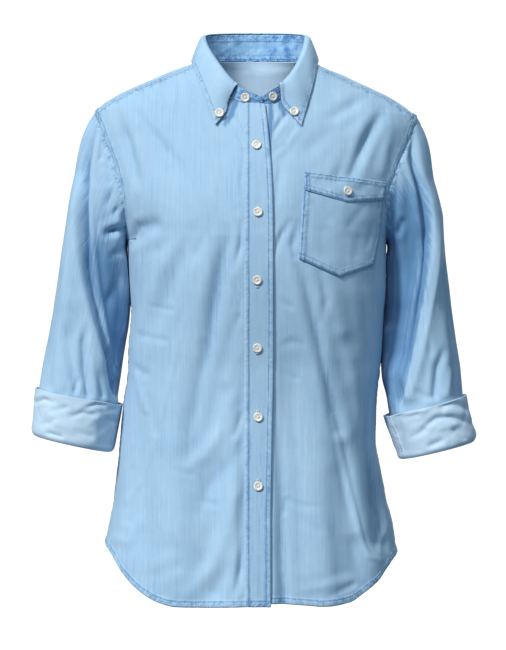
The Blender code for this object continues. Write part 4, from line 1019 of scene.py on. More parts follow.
# smaller folds than the solid carries
FINE_BACK = [
    (-120, -120, -150, -170, 6, 1.8), (122, -118, 150, -168, 6, 1.8), (-140, -215, -110, -196, 5, 2.0),
    (142, -218, 112, -198, 5, 2.0), (-90, -230, -84, -420, 9, 1.6), (44, -210, 48, -380, 9, 1.6),
    (94, -260, 90, -420, 8, 1.5), (-46, -300, -42, -470, 8, 1.6), (2, -420, 0, -660, 8, 2.0),
    (-96, -430, -100, -650, 7, 1.8), (100, -440, 104, -640, 7, 1.8), (-145, -440, -150, -600, 7, 1.8),
    (146, -430, 152, -600, 7, 1.8), (52, -470, 54, -650, 6, 1.5), (-42, -480, -44, -660, 6, 1.5),
    (-60, -330, -20, -350, 8, 1.2), (30, -345, 80, -325, 8, 1.2), (-110, -350, -80, -372, 7, 1.2),
]
FINE_SLEEVE_RIGHT = [
    # a0, z0, a1, z1, width, depth
    (40, -70, 60, -130, 5, 1.6), (70, -85, 74, -150, 5, 1.6), (95, -120, 100, -190, 5, 1.6), (20, -80, 28, -170, 6, 1.4),
    (128, -170, 130, -240, 5, 2.0), (150, -225, 138, -262, 4, 1.8), (100, -225, 118, -262, 4, 1.6),
    (58, -240, 40, -300, 6, 1.4), (88, -300, 74, -372, 5, 1.8), (132, -300, 128, -360, 5, 1.6), (150, -340, 146, -400, 5, 2.0),
    (42, -330, 52, -405, 6, 1.8), (20, -280, 26, -400, 7, 1.4), (74, -372, 80, -420, 4, 1.8), (112, -370, 104, -420, 4, 2.0), (58, -380, 60, -420, 4, 1.6),
    (-30, -80, -36, -170, 7, 1.8), (-80, -110, -70, -220, 7, 2.2), (-120, -170, -130, -260, 6, 2.0), (-100, -260, -70, -330, 6, 1.8),
    (-140, -300, -120, -400, 6, 2.0), (-40, -300, -50, -400, 6, 1.8), (-84, -360, -86, -420, 5, 2.0), (-20, -340, -16, -415, 5, 1.6), (-160, -350, -150, -420, 5, 1.6),
]
FINE_SLEEVE_LEFT = [
    (40, -75, 58, -140, 5, 1.6), (72, -90, 78, -160, 5, 1.6), (100, -120, 104, -200, 5, 1.6), (18, -90, 26, -190, 6, 1.4),
    (130, -170, 128, -250, 5, 1.6), (60, -200, 80, -250, 5, 1.6), (96, -240, 84, -300, 5, 1.8), (62, -290, 56, -360, 5, 1.8),
    (98, -320, 92, -400, 5, 2.2), (126, -330, 118, -410, 5, 2.0), (40, -360, 48, -420, 5, 1.8), (70, -370, 74, -425, 4, 1.8),
    (20, -300, 16, -410, 6, 1.6), (150, -330, 144, -420, 5, 1.8),
    (-30, -85, -36, -180, 7, 1.8), (-78, -115, -72, -225, 7, 2.2), (-118, -175, -128, -265, 6, 2.0), (-98, -262, -72, -335, 6, 1.8),
    (-138, -300, -118, -405, 6, 2.0), (-42, -300, -52, -405, 6, 1.8), (-86, -365, -84, -425, 5, 2.0), (-18, -345, -20, -420, 5, 1.6), (-158, -350, -150, -425, 5, 1.6),
]
# folds by their place as seen from 3 m in front, in the plane of the side seams
CREASE_RIGHT_FRONT = [
    # each fold: width, then (x, z, depth) along it, in mm
    (5.1, [(-177, -55, 0.6), (-165, -86, 2.6), (-157, -115, 2.2), (-151, -147, 0.5)]),
    (5.1, [(-165, -38, 0.5), (-136, -74, 1.9), (-110, -105, 1.7), (-82, -143, 0.3)]),
    (5.8, [(-136, -102, 0.2), (-119, -143, 0.8), (-108, -173, 0.2)]),
    (6.4, [(-132, -195, 1.0), (-150, -201, 3.6), (-163, -221, 4.6)]),
    (9.0, [(-108, -215, 0.6), (-125, -229, 1.8), (-141, -238, 0.6)]),
    (10.2, [(-82, -210, 0.8), (-95, -237, 3.2), (-113, -288, 2.8), (-138, -339, 0.8)]),
    (7.7, [(-105, -225, -0.6), (-123, -262, -1.8), (-148, -326, -0.8)]),
    (5.1, [(-64, -209, 0.5), (-76, -233, 1.6), (-82, -251, 0.3)]),
    (7.7, [(-35, -210, 1.0), (-44, -246, 4.6), (-52, -294, 4.8), (-61, -352, 3.6), (-73, -403, 2.6), (-84, -461, 2.0), (-87, -507, 0.8)]),
    (11.5, [(-56, -224, -0.6), (-72, -282, -2.0), (-90, -346, -1.6), (-102, -397, -0.8)]),
    (3.8, [(-17, -113, 0.4), (-18, -138, 1.8), (-17, -164, 0.4)]),
    (4.6, [(-17, -195, 1.0), (-19, -225, 3.8), (-28, -253, 1.0)]),
    (7.7, [(-17, -352, -0.6), (-36, -397, -1.6)]),
    (8.3, [(-20, -389, -0.8), (-32, -422, -2.4), (-44, -461, -3.0), (-64, -492, -3.0), (-87, -509, -1.4)]),
    (4.1, [(-18, -442, 1.2), (-28, -466, 1.6)]),
    (10.2, [(-17, -481, 1.2), (-38, -507, 3.4), (-58, -532, 3.0), (-72, -563, 1.0)]),
    (9.0, [(-15, -527, -1.0), (-29, -550, -3.0), (-38, -591, -3.4), (-54, -635, -3.0), (-84, -668, -1.4)]),
    (5.8, [(-15, -608, 1.0), (-20, -640, 4.6), (-26, -663, 3.4), (-31, -681, 1.0)]),
    (9.0, [(-36, -640, 1.2), (-52, -668, 2.6)]),
    (3.3, [(-92, -320, -0.4), (-113, -410, -1.0), (-129, -474, -1.0), (-146, -527, -1.0), (-166, -553, -0.5)]),
    (14.1, [(-136, -602, 0.6), (-110, -612, 2.0), (-77, -630, 1.2)]),
    (5.8, [(-184, -599, -0.6), (-164, -603, -1.4), (-147, -576, -0.6)]),
    (7.7, [(-136, -649, 0.8), (-100, -635, 1.2)]),
    (4.5, [(-164, -374, 0.6), (-141, -389, 1.2)]),
    (5.1, [(-136, -420, 0.5), (-127, -463, 1.2)]),
    (5.1, [(-156, -512, 0.8), (-164, -576, 1.2)]),
    (3.8, [(-154, -390, -0.6), (-141, -435, -1.2)]),
    (6.4, [(-65, -352, 0.8), (-54, -390, 1.2), (-51, -422, 0.4)]),
    (3.1, [(-35, -60, 0.8), (-17, -92, 1.4)]),
    (2.8, [(-24, -59, 0.8), (-14, -78, 1.0)]),
    (3.8, [(-116, -28, 0.2), (-95, -36, 0.8), (-74, -45, 0.3)]),
    (3.8, [(-102, -512, 0.3), (-84, -517, 0.9)]),
    (4.1, [(-77, -550, 0.3), (-52, -556, 0.9)]),
    (4.4, [(-33, -346, 0.4), (-23, -317, 0.9)]),
    (3.3, [(-31, -275, 0.4), (-20, -294, 1.1), (-19, -323, 0.4)]),
    (3.1, [(-133, -302, 0.4), (-108, -307, 0.9)]),
    (3.8, [(-148, -339, 0.4), (-116, -346, 1.0)]),
]

CREASE_LEFT_FRONT = [
    # each fold: width, then (x, z, depth) along it, in mm
    (6.4, [(141, -33, 0.6), (123, -44, 3.0), (105, -55, 2.4), (87, -65, 0.5)]),
    (5.9, [(163, -51, 1.0), (148, -77, 4.6), (136, -102, 5.2), (123, -133, 3.0)]),
    (7.7, [(148, -49, -0.6), (123, -87, -2.2), (100, -128, -1.2)]),
    (6.4, [(173, -70, -0.8), (165, -102, -2.2), (161, -128, -1.2)]),
    (3.3, [(37, -58, 1.4), (29, -69, 3.0), (20, -82, 1.2)]),
    (4.6, [(56, -74, -0.4), (41, -92, -1.3), (26, -111, -0.4)]),
    (3.3, [(51, -72, 0.4), (36, -97, 1.0), (26, -102, 0.3)]),
    (4.4, [(33, -115, 0.3), (29, -141, 1.2), (26, -166, 0.5)]),
    (11.5, [(46, -125, -0.6), (42, -173, -2.0), (42, -195, -1.0)]),
    (3.8, [(44, -193, 0.6), (33, -210, 2.4), (24, -233, 0.8)]),
    (3.8, [(54, -195, 0.6), (47, -225, 2.2), (51, -238, 1.0)]),
    (6.7, [(52, -241, 0.8), (63, -271, 3.0), (73, -314, 3.8), (83, -358, 4.0), (95, -412, 3.8), (105, -461, 2.6)]),
    (10.2, [(109, -412, -1.0), (114, -461, -3.4), (120, -525, -4.0), (125, -589, -3.0)]),
    (12.8, [(141, -416, 2.0), (151, -474, 7.0), (157, -538, 9.0), (160, -602, 6.5)]),
    (2.8, [(99, -442, -0.6), (108, -493, -1.6), (118, -544, -1.8), (129, -589, -1.8), (143, -622, -1.6), (157, -627, -0.8)]),
    (9.6, [(105, -339, -1.0), (119, -371, -3.4), (128, -412, -3.0), (133, -454, -1.0)]),
    (10.2, [(90, -253, -0.5), (99, -282, -2.2), (110, -333, -2.2)]),
    (23.0, [(47, -250, -1.0), (56, -333, -2.6), (60, -422, -3.2), (61, -525, -3.2), (64, -640, -2.2)]),
    (7.0, [(24, -416, 0.4), (29, -474, 2.2), (32, -550, 3.4), (33, -627, 4.2), (36, -682, 4.2)]),
    (12.8, [(95, -525, 1.0), (102, -589, 2.6), (108, -640, 2.2)]),
    (3.8, [(41, -550, 0.3), (61, -558, 0.8), (84, -559, 0.2)]),
    (4.4, [(33, -353, 0.3), (46, -347, 1.0), (59, -351, 0.2)]),
    (3.8, [(31, -294, 0.3), (44, -302, 0.9)]),
    (3.8, [(35, -387, 0.2), (51, -394, 0.7)]),
    (3.3, [(40, -550, 1.0), (36, -566, 1.0)]),
    (5.1, [(56, -576, 0.3), (79, -589, 0.6)]),
    (5.1, [(120, -650, -0.6), (88, -660, -1.2), (56, -666, -0.4)]),
    (3.8, [(123, -659, 1.4), (95, -673, 0.6)]),
    (3.1, [(173, -570, -0.6), (166, -595, -1.6), (159, -617, -0.6)]),
    (6.4, [(136, -275, 0.6), (141, -320, 1.6), (146, -371, 0.6)]),
    (4.6, [(82, -259, 0.6), (90, -294, 1.6), (84, -323, 0.4)]),
]

CREASE_SLEEVE_RIGHT = [
    # each fold: width, then (x, z, depth) along it, in mm
    (4.9, [(-206, -70, 0.8), (-216, -99, 4.0), (-223, -131, 6.5), (-223, -173, 7.5), (-220, -211, 7.5), (-216, -246, 7.0), (-212, -274, 6.5), (-201, -323, 6.0), (-187, -371, 5.5), (-179, -415, 4.0)]),
    (10.2, [(-220, -294, -0.8), (-210, -333, -1.6), (-202, -371, -1.4)]),
    (14.1, [(-205, -147, 0.8), (-201, -192, 4.0), (-195, -241, 6.5), (-184, -294, 7.5), (-175, -346, 6.5), (-172, -397, 4.0)]),
    (7.7, [(-204, -154, -1.0), (-196, -218, -2.6), (-184, -282, -2.6), (-175, -333, -1.4)]),
    (11.5, [(-238, -154, -0.8), (-243, -243, -2.2), (-248, -333, -2.0), (-248, -403, -1.2)]),
    (3.8, [(-182, -148, 0.5), (-189, -164, 1.8), (-193, -174, 0.5)]),
    (3.3, [(-172, -173, 0.6), (-178, -179, 2.0), (-183, -187, 0.6)]),
    (4.6, [(-164, -200, 4.0), (-177, -205, 6.5), (-192, -209, 2.0)]),
    (4.4, [(-165, -223, 1.6), (-173, -230, 2.4), (-182, -238, 0.6)]),
    (3.8, [(-184, -189, -0.8), (-196, -200, -0.4)]),
    (4.4, [(-215, -328, 0.6), (-221, -348, 3.4), (-220, -379, 3.8), (-215, -415, 3.0)]),
    (2.8, [(-228, -397, 0.8), (-232, -411, 2.2)]),
    (3.8, [(-202, -390, 0.6), (-198, -415, 2.6)]),
    (3.3, [(-191, -402, 0.6), (-188, -417, 2.0)]),
    (3.1, [(-198, -87, 0.4), (-201, -113, 1.4)]),
    (3.8, [(-251, -387, 0.4), (-243, -412, 1.2)]),
    (5.1, [(-261, -333, 0.2), (-264, -403, 1.4)]),
    (4.4, [(-195, -102, 0.6), (-188, -141, 1.2)]),
]

CREASE_SLEEVE_LEFT = [
    # each fold: width, then (x, z, depth) along it, in mm
    (7.0, [(180, -67, 1.0), (175, -115, 3.5), (173, -179, 5.0), (170, -256, 5.0), (166, -320, 4.0)]),
    (4.6, [(193, -72, 0.8), (202, -101, 4.0), (214, -147, 6.5), (220, -201, 7.0), (219, -238, 7.0), (214, -275, 6.5), (205, -320, 6.0), (195, -371, 5.0), (184, -420, 3.0)]),
    (15.4, [(189, -128, 1.0), (195, -186, 4.5), (192, -243, 7.0), (184, -307, 6.5), (177, -358, 4.0)]),
    (7.7, [(232, -154, -1.0), (229, -218, -4.0), (221, -282, -4.6), (211, -346, -4.6), (197, -415, -3.0)]),
    (6.4, [(238, -198, 0.6), (246, -269, 2.4), (255, -346, 3.4), (259, -415, 3.0)]),
    (4.1, [(241, -358, 0.8), (232, -379, 2.6), (228, -417, 2.8)]),
    (3.8, [(207, -412, 1.0), (220, -419, 1.2)]),
    (4.4, [(248, -387, -1.0), (243, -415, -1.6)]),
    (4.6, [(187, -195, 1.6), (180, -207, 2.4)]),
    (5.1, [(184, -346, 1.0), (179, -397, 2.6), (184, -428, 2.0)]),
    (3.3, [(195, -64, 0.6), (188, -90, 1.6)]),
    (3.8, [(218, -333, 0.3), (223, -361, 1.0)]),
]

CREASE_CUFF_RIGHT = [
    # each fold: width, then (x, z, depth) along it, in mm
    (2.8, [(-282, -425, 1.6), (-271, -421, 2.4), (-260, -424, 0.6)]),
    (2.8, [(-220, -433, 0.8), (-206, -428, 2.6), (-192, -428, 1.0)]),
    (3.1, [(-238, -444, 0.6), (-223, -438, 2.2), (-205, -442, 0.6)]),
    (4.1, [(-201, -461, 0.8), (-189, -449, 2.6), (-174, -445, 1.6)]),
    (3.8, [(-264, -466, 2.2), (-251, -470, 2.2)]),
    (3.1, [(-261, -436, 0.4), (-243, -431, 1.2)]),
    (7.7, [(-195, -428, 0.6), (-192, -454, 2.0), (-195, -479, 1.4)]),
    (6.4, [(-266, -438, -0.8), (-253, -453, -1.6), (-236, -458, -0.8)]),
    (3.8, [(-215, -453, -0.6), (-202, -443, -1.4)]),
    (3.3, [(-274, -454, 0.5), (-259, -448, 1.0)]),
    (3.8, [(-230, -463, 0.4), (-212, -468, 1.4)]),
    (2.8, [(-187, -434, 1.2), (-175, -433, 1.2)]),
]

CREASE_CUFF_LEFT = [
    # each fold: width, then (x, z, depth) along it, in mm
    (3.8, [(239, -430, 1.2), (252, -425, 3.2), (271, -433, 1.4)]),
    (3.3, [(214, -458, 0.8), (230, -445, 2.6), (251, -443, 2.0), (276, -453, 0.8)]),
    (3.6, [(198, -470, 0.6), (215, -461, 1.8)]),
    (4.1, [(225, -480, 2.0), (236, -475, 1.8)]),
    (4.4, [(244, -436, -1.6), (261, -440, -1.2)]),
    (5.1, [(197, -438, -0.8), (216, -433, -1.4)]),
    (3.8, [(255, -461, 1.6), (269, -474, 1.6)]),
    (5.1, [(182, -435, 1.4), (184, -461, 2.4), (189, -484, 1.2)]),
    (3.1, [(189, -445, 0.4), (207, -440, 1.2)]),
    (3.8, [(236, -458, -1.0), (255, -453, -1.4)]),
]

COLLAR_SHADOW_PATHS = [
    # painted shadow beside the collar's edges, partly also cloth the collar kept from fading: width, then (x, z, share)
    # along it
    (4.1, [(-24, -35, 1.0), (-28, -46, 1.2), (-32, -58, 1.0), (-40, -69, 0.5)]),
    (5.1, [(32, -35, 1.0), (32, -46, 1.0), (36, -55, 0.7)]),
    (3.6, [(19, -41, 1.2), (19, -61, 1.2), (18, -83, 0.8), (17, -110, 0.3)]),
    (3.1, [(56, -72, 0.5), (54, -67, 0.6)]),
]


VIS = 1.2            # cloth wall shown


def crumple(u, v, seed, amp=1.0):
    """Small uneven drape that no two places share."""
    a = fbm(u / 62.0, v / 105.0, seed, 2) * 1.0
    b = fbm(u / 24.0 + 0.3 * fbm(v / 60.0, u / 60.0, seed + 3, 1), v / 46.0, seed + 11, 2) * 0.42
    c = noise2(u / 9.0, v / 21.0, seed + 23) * 0.10
    return amp * (a + b + c)


def seen(p):
    """Place of a point as seen from in front, in the plane of the side seams."""
    f = 1 + p[..., 1] / 3000.0
    return (p[..., 0] + 3.8) / f - 3.8, (p[..., 2] + 326.0) / f - 326.0


def crease(paths, x, z, gain=1.0):
    """Depth of folds that follow a path: a trough, or a ridge where negative."""
    total = np.zeros(x.shape)
    for width, pts in paths:
        lo_x, hi_x = min(q[0] for q in pts) - 4 * width, max(q[0] for q in pts) + 4 * width
        lo_z, hi_z = min(q[1] for q in pts) - 4 * width, max(q[1] for q in pts) + 4 * width
        sel = (x > lo_x) & (x < hi_x) & (z > lo_z) & (z < hi_z)
        if not sel.any():
            continue
        xs, zs = x[sel], z[sel]
        best, deep = np.full(xs.shape, 1e9), np.zeros(xs.shape)
        for (x0, z0, d0), (x1, z1, d1) in zip(pts[:-1], pts[1:]):
            dx, dz = x1 - x0, z1 - z0
            t = np.clip(((xs - x0) * dx + (zs - z0) * dz) / (dx * dx + dz * dz), 0, 1)
            d = np.hypot(xs - x0 - t * dx, zs - z0 - t * dz)
            hit = d < best
            best = np.where(hit, d, best)
            deep = np.where(hit, d0 + (d1 - d0) * t, deep)
        shape = np.exp(-(best / width) ** 2) - 0.22 * np.exp(-((best - 2.1 * width) / (0.95 * width)) ** 2)
        total[sel] += gain * deep * shape
    return total


def fold_shade_and_wear(depth, gain=0.14):
    """Darker in the folds and paler on the ridges: partly indigo that stays in the folds and wears off the ridges,
    partly painted shade in the folds.
    """
    return -gain * np.maximum(depth - 0.6, 0) + 0.05 * np.clip(-depth, 0, 4)


def relief(side, p, x, z):
    """Depth of every fine fold on a front."""
    near = smooth((armhole(side, z) - np.abs(x)) / 15.0)
    edge = placket_edge(z) if side < 0 else 15.0
    flat = smooth((np.abs(x - 3.0) - 14.0) / 9.0)
    u, v = seen(p)
    d = crease(CREASE_RIGHT_FRONT if side < 0 else CREASE_LEFT_FRONT, u, v) * near * flat
    return d + crumple(x + 300, z, 3 if side < 0 else 8) * 0.5 * near * (0.25 + 0.75 * flat)


# ---- fronts
last = 11
BODY_MATS = [DENIM, DENIM_BACK]


def side_share(side, z_top, rows, back=False):
    fine = arm_levels(side, z_top, rows * 24, back)
    return Curve(np.linspace(0, rows, rows * 24 + 1)[::4], ((fine[0] - fine) / (fine[0] - fine[-1]))[::4]), fine


def front_xz(side, cols, rows):
    top = TOP_RIGHT if side < 0 else TOP_LEFT
    hem = hem_r if side < 0 else hem_l
    base = np.arange(len(top))
    top_x = Curve(base, [t[0] for t in top])
    levels = [t[1] if t[1] is not None else float(ridge(side, t[0])) - SEAM_DROP for t in top]
    neck_n = sum(1 for t in top if t[1] is not None)
    neck_z = Curve(base[:neck_n + 1], levels[:neck_n + 1])
    edge = top[0][0]
    z_tip = float(ridge(side, TIP_X)) - SEAM_DROP
    share, _ = side_share(side, z_tip, ROWS_ARM)

    def x_at(c, z):
        g_top = (top_x(c) - edge) / (TIP_X - edge)
        g_low = np.sin(radians(90) * c / last)
        g = g_top + (g_low - g_top) * smooth((-58.0 - z) / 158.0)
        return edge + (np.where(z > -54.0, TIP_X, armhole(side, z)) - edge) * g

    xs, zs = [], []
    ra, rl = np.clip(rows, 0, ROWS_ARM), np.clip(rows - ROWS_ARM, 0, ROWS_LOW)
    for c in cols:
        cc = max(c, 0.0)
        z0 = float(neck_z(cc)) if cc < neck_n else float(ridge(side, top_x(cc))) - SEAM_DROP
        if c >= last - 1e-9:
            z0 = z_tip
        if c < 0:
            z0 = z0 + (-51.8 - z0) * (-c / 2)
        g = cc / last
        f = ra / ROWS_ARM
        f = f + (share(ra) - f) * g ** 3
        h = float(hem(sin(radians(90) * g)))
        z = np.where(rows <= ROWS_ARM, z0 + (ARMPIT_Z - z0) * f, ARMPIT_Z + (h - ARMPIT_Z) * rl / ROWS_LOW)
        if c < 0:
            end = placket_edge(z) if side < 0 else under_edge(z)
            x = side * edge + (end - side * edge) * (-c / 2)
        else:
            x = side * x_at(np.full_like(z, c), z)
        xs.append(x)
        zs.append(z)
    return np.array(xs).T, np.array(zs).T


ROW_LINES = lines(0, ROWS_ARM + ROWS_LOW, 0.105, (0.0, ROWS_ARM + ROWS_LOW), 0.045, 0.5)
low_rows = ROW_LINES > ROWS_ARM
ROW_LINES = np.concatenate([ROW_LINES[~low_rows], [ROWS_ARM], lines(ROWS_ARM, ROWS_ARM + ROWS_LOW, 0.068, (ROWS_ARM + ROWS_LOW,), 0.026, 0.34)[1:]])
ROW_LINES = np.array(sorted(set(np.round(ROW_LINES, 6))))


def front_cloth(side, cols, extra_lift=0.0, fine=True):
    x, z = front_xz(side, cols, ROW_LINES)
    p, n = front_point(side, x, z)
    if cols[-1] >= last - 1e-9:
        low = z[:, -1] <= ARMPIT_Z + 1e-6
        p[low, -1, 1] = 0.0
    top = smooth((np.abs(z - z[0:1]) - 2.0) / 12.0)
    depth = relief(side, p, x, z) * top if fine else np.zeros(x.shape)
    p = p - n * depth[..., None]
    p = p + n * extra_lift
    cl = Cloth(p, n, np.stack([x, z], -1))
    u, v = seen(cl.p)
    # darker in the folds (partly painted shade) and painted shadow beside the collar's edges
    cl.wear_and_shade = cl.wear_and_shade + fold_shade_and_wear(depth, 0.13) - 2.4 * np.clip(crease(COLLAR_SHADOW_PATHS, u, v), 0, 1.2)
    return cl, x, z


def hem_fold(cl, seed, m=1.0):
    cl.seam('bottom', width=8.0, height=1.0, pucker=0.85, wave=6.0, skew=0.9, groove=0.6, stitches=(6.8,), seed=seed, reach=9.0, rope=0.75, edge=1.0)


fronts = {}
for side, name in ((-1, 'front_right'), (1, 'front_left')):
    cols = lines(-2.0, last, 0.125, (last, 0.0), 0.055, 0.5)
    cl, x, z = front_cloth(side, cols)
    # felled armhole on the body, puckered side seam below it
    _, s_side = cl.dist('right')
    arm_len = np.interp(ROWS_ARM, ROW_LINES, cl.along_r[:, -1])
    on_arm = smooth((arm_len - 9.0 - s_side) / 9.0 + 0.5)
    c_at = np.broadcast_to(cols[None, :], x.shape)
    seam_top = smooth((c_at - 3.9) / 0.3)
    cl.seam('right', width=8.0, height=0.8, pucker=0.95, wave=7.0, skew=0.6, groove=0.55, stitches=(7.0,), mask=on_arm, seed=11, reach=12, rope=0.95)
    cl.seam('right', width=5.0, height=0.0, pucker=0.7, wave=8.0, skew=-0.8, groove=0.0, stitches=(), mask=1 - on_arm, seed=13, reach=10, rope=0.7)
    cl.seam('top', width=4.0, height=0.0, pucker=0.8, wave=7.0, skew=0.3, groove=0.0, stitches=(), mask=seam_top, seed=15, reach=9, rope=0.8)
    hem_fold(cl, 17)
    fronts[name] = cl
    build(name + '_cloth', cl, VIS, BODY_MATS, node=name)
    a, b = cl.line('right', 7.0, 4.0, arm_len - 2)
    add_stitches(a, b + 0, kind='pale')
    a, b = cl.line('bottom', 6.6)
    add_stitches(a, b, kind='pale')
fr_cloth, fl_cloth = fronts['front_right'], fronts['front_left']

# ---- placket: its edges are folded and stitched
cols = lines(-2.0, 0.0, 0.09, (-2.0, 0.0), 0.045, 0.45)
pl, x, z = front_cloth(-1, cols, STACK + 0.15, fine=False)
pl.p = pl.p - pl.n * (crumple(x * 2, z, 41) * 0.22)[..., None]
pl.seam('left', width=5.6, height=0.5, pucker=0.45, wave=8.5, skew=0.2, groove=0.55, stitches=(5.2,), seed=21, reach=6, rope=0.45, edge=0.9)
pl.seam('right', width=5.6, height=0.5, pucker=0.45, wave=8.5, skew=-0.2, groove=0.55, stitches=(5.2,), seed=22, reach=6, rope=0.45, edge=0.9)
pl.seam('bottom', width=8.0, height=0.6, pucker=0.45, wave=6.0, skew=0.9, groove=0.5, stitches=(6.8,), seed=23, reach=8, rope=1.3, edge=0.6)
# rounded free edges
for sd in ('left', 'right'):
    d, _ = pl.dist(sd)
    pl.p = pl.p - pl.n * (0.55 * np.exp(-(d / 0.8) ** 2))[..., None]
pl.wear_and_shade = pl.wear_and_shade - 0.3 * smooth((-420.0 - pl.p[..., 2]) / 110.0)
build('placket_cloth', pl, 1.35, BODY_MATS, node='placket')
for sd in ('left', 'right'):
    a, b = pl.line(sd, 5.2)
    add_stitches(a, b, kind='pale')
    a, b = pl.line(sd, 1.5)
    add_stitches(a, b, kind='pale', radius=0.2)
a, b = pl.line('bottom', 6.6)
add_stitches(a, b, kind='pale')

# ---- back
n_back = 12
cols_b = lines(-n_back, n_back, 0.165, (-n_back, n_back), 0.07, 0.6)
rows_b = np.array(sorted(set(np.round(np.concatenate([
    lines(0, ROWS_BACK, 0.15, (0.0,), 0.06, 0.5),
    lines(ROWS_BACK, ROWS_BACK + ROWS_LOW, 0.085, (ROWS_BACK + ROWS_LOW,), 0.03, 0.34)]), 6))))


def back_xz(cols, rows):
    xs, zs = [], []
    shares = {s: side_share(s, YOKE_BACK_Z, ROWS_BACK, True)[0] for s in (-1, 1)}
    ra, rl = np.clip(rows, 0, ROWS_BACK), np.clip(rows - ROWS_BACK, 0, ROWS_LOW)
    for c in cols:
        f = c / n_back
        side = -1 if f < 0 else 1
        u = ra / ROWS_BACK
        u = u + (shares[side](ra) - u) * abs(f) ** 3
        low = sin(radians(90) * abs(f))
        hem = float(hem_r(low) if f < 0 else hem_l(low))
        mid = 0.5 * float(hem_r(0.0) + hem_l(0.0))
        hem = mid + (hem - mid) * float(smooth(abs(f) / 0.25))
        z = np.where(rows <= ROWS_BACK, YOKE_BACK_Z + (ARMPIT_Z - YOKE_BACK_Z) * u, ARMPIT_Z + (hem - ARMPIT_Z) * rl / ROWS_LOW)
        g = abs(f) + (low - abs(f)) * smooth((YOKE_BACK_Z - z) / 120.0)
        xs.append(side * g * armhole(side, z, True))
        zs.append(z)
    return np.array(xs).T, np.array(zs).T


x, z = back_xz(cols_b, rows_b)
p, n = back_point(x, z)
for c in (0, -1):
    low = z[:, c] <= ARMPIT_Z + 1e-6
    p[low, c, 1] = 0.0
edge_b = np.where(x < 0, armhole(-1, z, True), armhole(1, z, True))
near = smooth((edge_b - np.abs(x)) / 18.0) * smooth((YOKE_BACK_Z - 3 - z) / 22.0)
d = 1.5 * fold_sum(FINE_BACK, x, z) * near + crumple(x + 900, z, 51) * 0.95 * near
p = p - n * d[..., None]
bk = Cloth(p, n, np.stack([x, z], -1))
_, s_side = bk.dist('right')
arm_len = float(np.interp(ROWS_BACK, rows_b, bk.along_r[:, -1]))
on_arm = smooth((arm_len - 9.0 - s_side) / 9.0 + 0.5)
for sd, sk in (('left', 0.6), ('right', 0.6)):
    bk.seam(sd, width=8.0, height=0.8, pucker=0.95, wave=7.0, skew=sk, groove=0.55, stitches=(7.0,), seed=61, reach=12, rope=0.9)
bk.seam('top', width=4.0, height=0.0, pucker=0.8, rope=0.8, wave=7.0, skew=0.3, groove=0.0, stitches=(), seed=63, reach=9)
hem_fold(bk, 65)
build('back_cloth', bk, VIS, BODY_MATS, node='back')
for sd in ('left', 'right'):
    a, b = bk.line(sd, 7.0, 4.0)
    add_stitches(a, b, kind='pale')
a, b = bk.line('bottom', 6.6)
add_stitches(a, b, kind='pale')


# ---- yoke
def yoke_points(cols, rows):
    half = NECK_BACK
    side_cols = [t[0] for t in TOP_RIGHT if t[1] is None]
    count = len(half) - 1 + len(side_cols)
    px = [h[0] for h in half] + side_cols
    top_x = Curve(range(len(px)), px)
    pts, nor = [], []
    u = rows / ROWS_YOKE
    for i in cols:
        c = abs(i)
        side = -1 if i < 0 else 1
        x_t = float(top_x(c))
        drops = [sqrt(float(ridge(side, hx)) - hz) if hz is not None else 0.0 for hx, hz in half]
        drops += [-sqrt(SEAM_DROP)] * len(side_cols)
        s0 = float(Curve(range(len(drops)), drops)(c))
        f_t, f_b = x_t / TIP_X, c / count
        s1 = sqrt(float(ridge(side, f_b * TIP_X)) - YOKE_BACK_Z)
        f = f_t + (f_b - f_t) * smooth(u)
        s = s0 + (s1 - s0) * u
        zz = ridge(side, f * TIP_X) - s * s
        zc = np.minimum(zz, -54.0)
        xx = side * f * np.where(s < 0, armhole(side, zc), armhole(side, zc, True))
        yy = np.where(s < 0, body_y(True, xx, zz), body_y(False, xx, zz))
        yy = np.where(np.abs(s) < 1e-9, 0.0, yy)
        pts.append(np.stack([xx, yy, zz], -1))
        nor.append(body_normal(xx, yy, zz))
    return np.array(pts).transpose(1, 0, 2), np.array(nor).transpose(1, 0, 2)


n_yoke = 12
cols_y = lines(-n_yoke, n_yoke, 0.14, (-n_yoke, n_yoke), 0.06, 0.5)
rows_y = lines(0, ROWS_YOKE, 0.11, (0.0, ROWS_YOKE), 0.05, 0.5)
p, n = yoke_points(cols_y, rows_y)
yk = Cloth(p, n, np.stack([p[..., 0] + 2000, cum(p, 0)], -1))
d_t, _ = yk.dist('top')
d_b, _ = yk.dist('bottom')
d_l, _ = yk.dist('left')
d_r, _ = yk.dist('right')
inner = smooth((np.minimum(np.minimum(d_t, d_b), np.minimum(d_l, d_r)) - 2) / 18.0)
yk.move(crumple(p[..., 0], cum(p, 0), 71) * 0.7 * inner)
c_at = np.broadcast_to(np.abs(cols_y)[None, :], p.shape[:2])
on_seam = smooth((c_at - 4.9) / 0.3)
yk.seam('top', width=6.5, height=0.7, pucker=0.9, wave=6.5, skew=0.5, groove=0.55, stitches=(5.6,), mask=on_seam, seed=73, reach=9, rope=0.95)
yk.seam('bottom', width=6.5, height=0.7, pucker=0.9, wave=6.5, skew=0.5, groove=0.55, stitches=(5.6,), seed=74, reach=9, rope=0.95)
for sd in ('left', 'right'):
    yk.seam(sd, width=8.0, height=0.8, pucker=0.9, wave=7.0, skew=0.6, groove=0.55, stitches=(7.0,), seed=75, reach=12, rope=0.9)
build('yoke_cloth', yk, VIS, BODY_MATS, node='yoke')
a, b = yk.line('bottom', 5.6)
add_stitches(a, b, kind='pale')
a, b = yk.line('bottom', 1.6)
add_stitches(a, b, kind='pale')
for sd in ('left', 'right'):
    a, b = yk.line(sd, 7.0, 3.0)
    add_stitches(a, b, kind='pale')
a, b = yk.line('top', 5.6)
for sgn in (-1, 1):
    m = sgn * a[:, 0] > 74
    add_stitches(a[m], b[m], kind='pale')
    a2, b2 = yk.line('top', 1.6)
    m = sgn * a2[:, 0] > 74
    add_stitches(a2[m], b2[m], kind='pale')


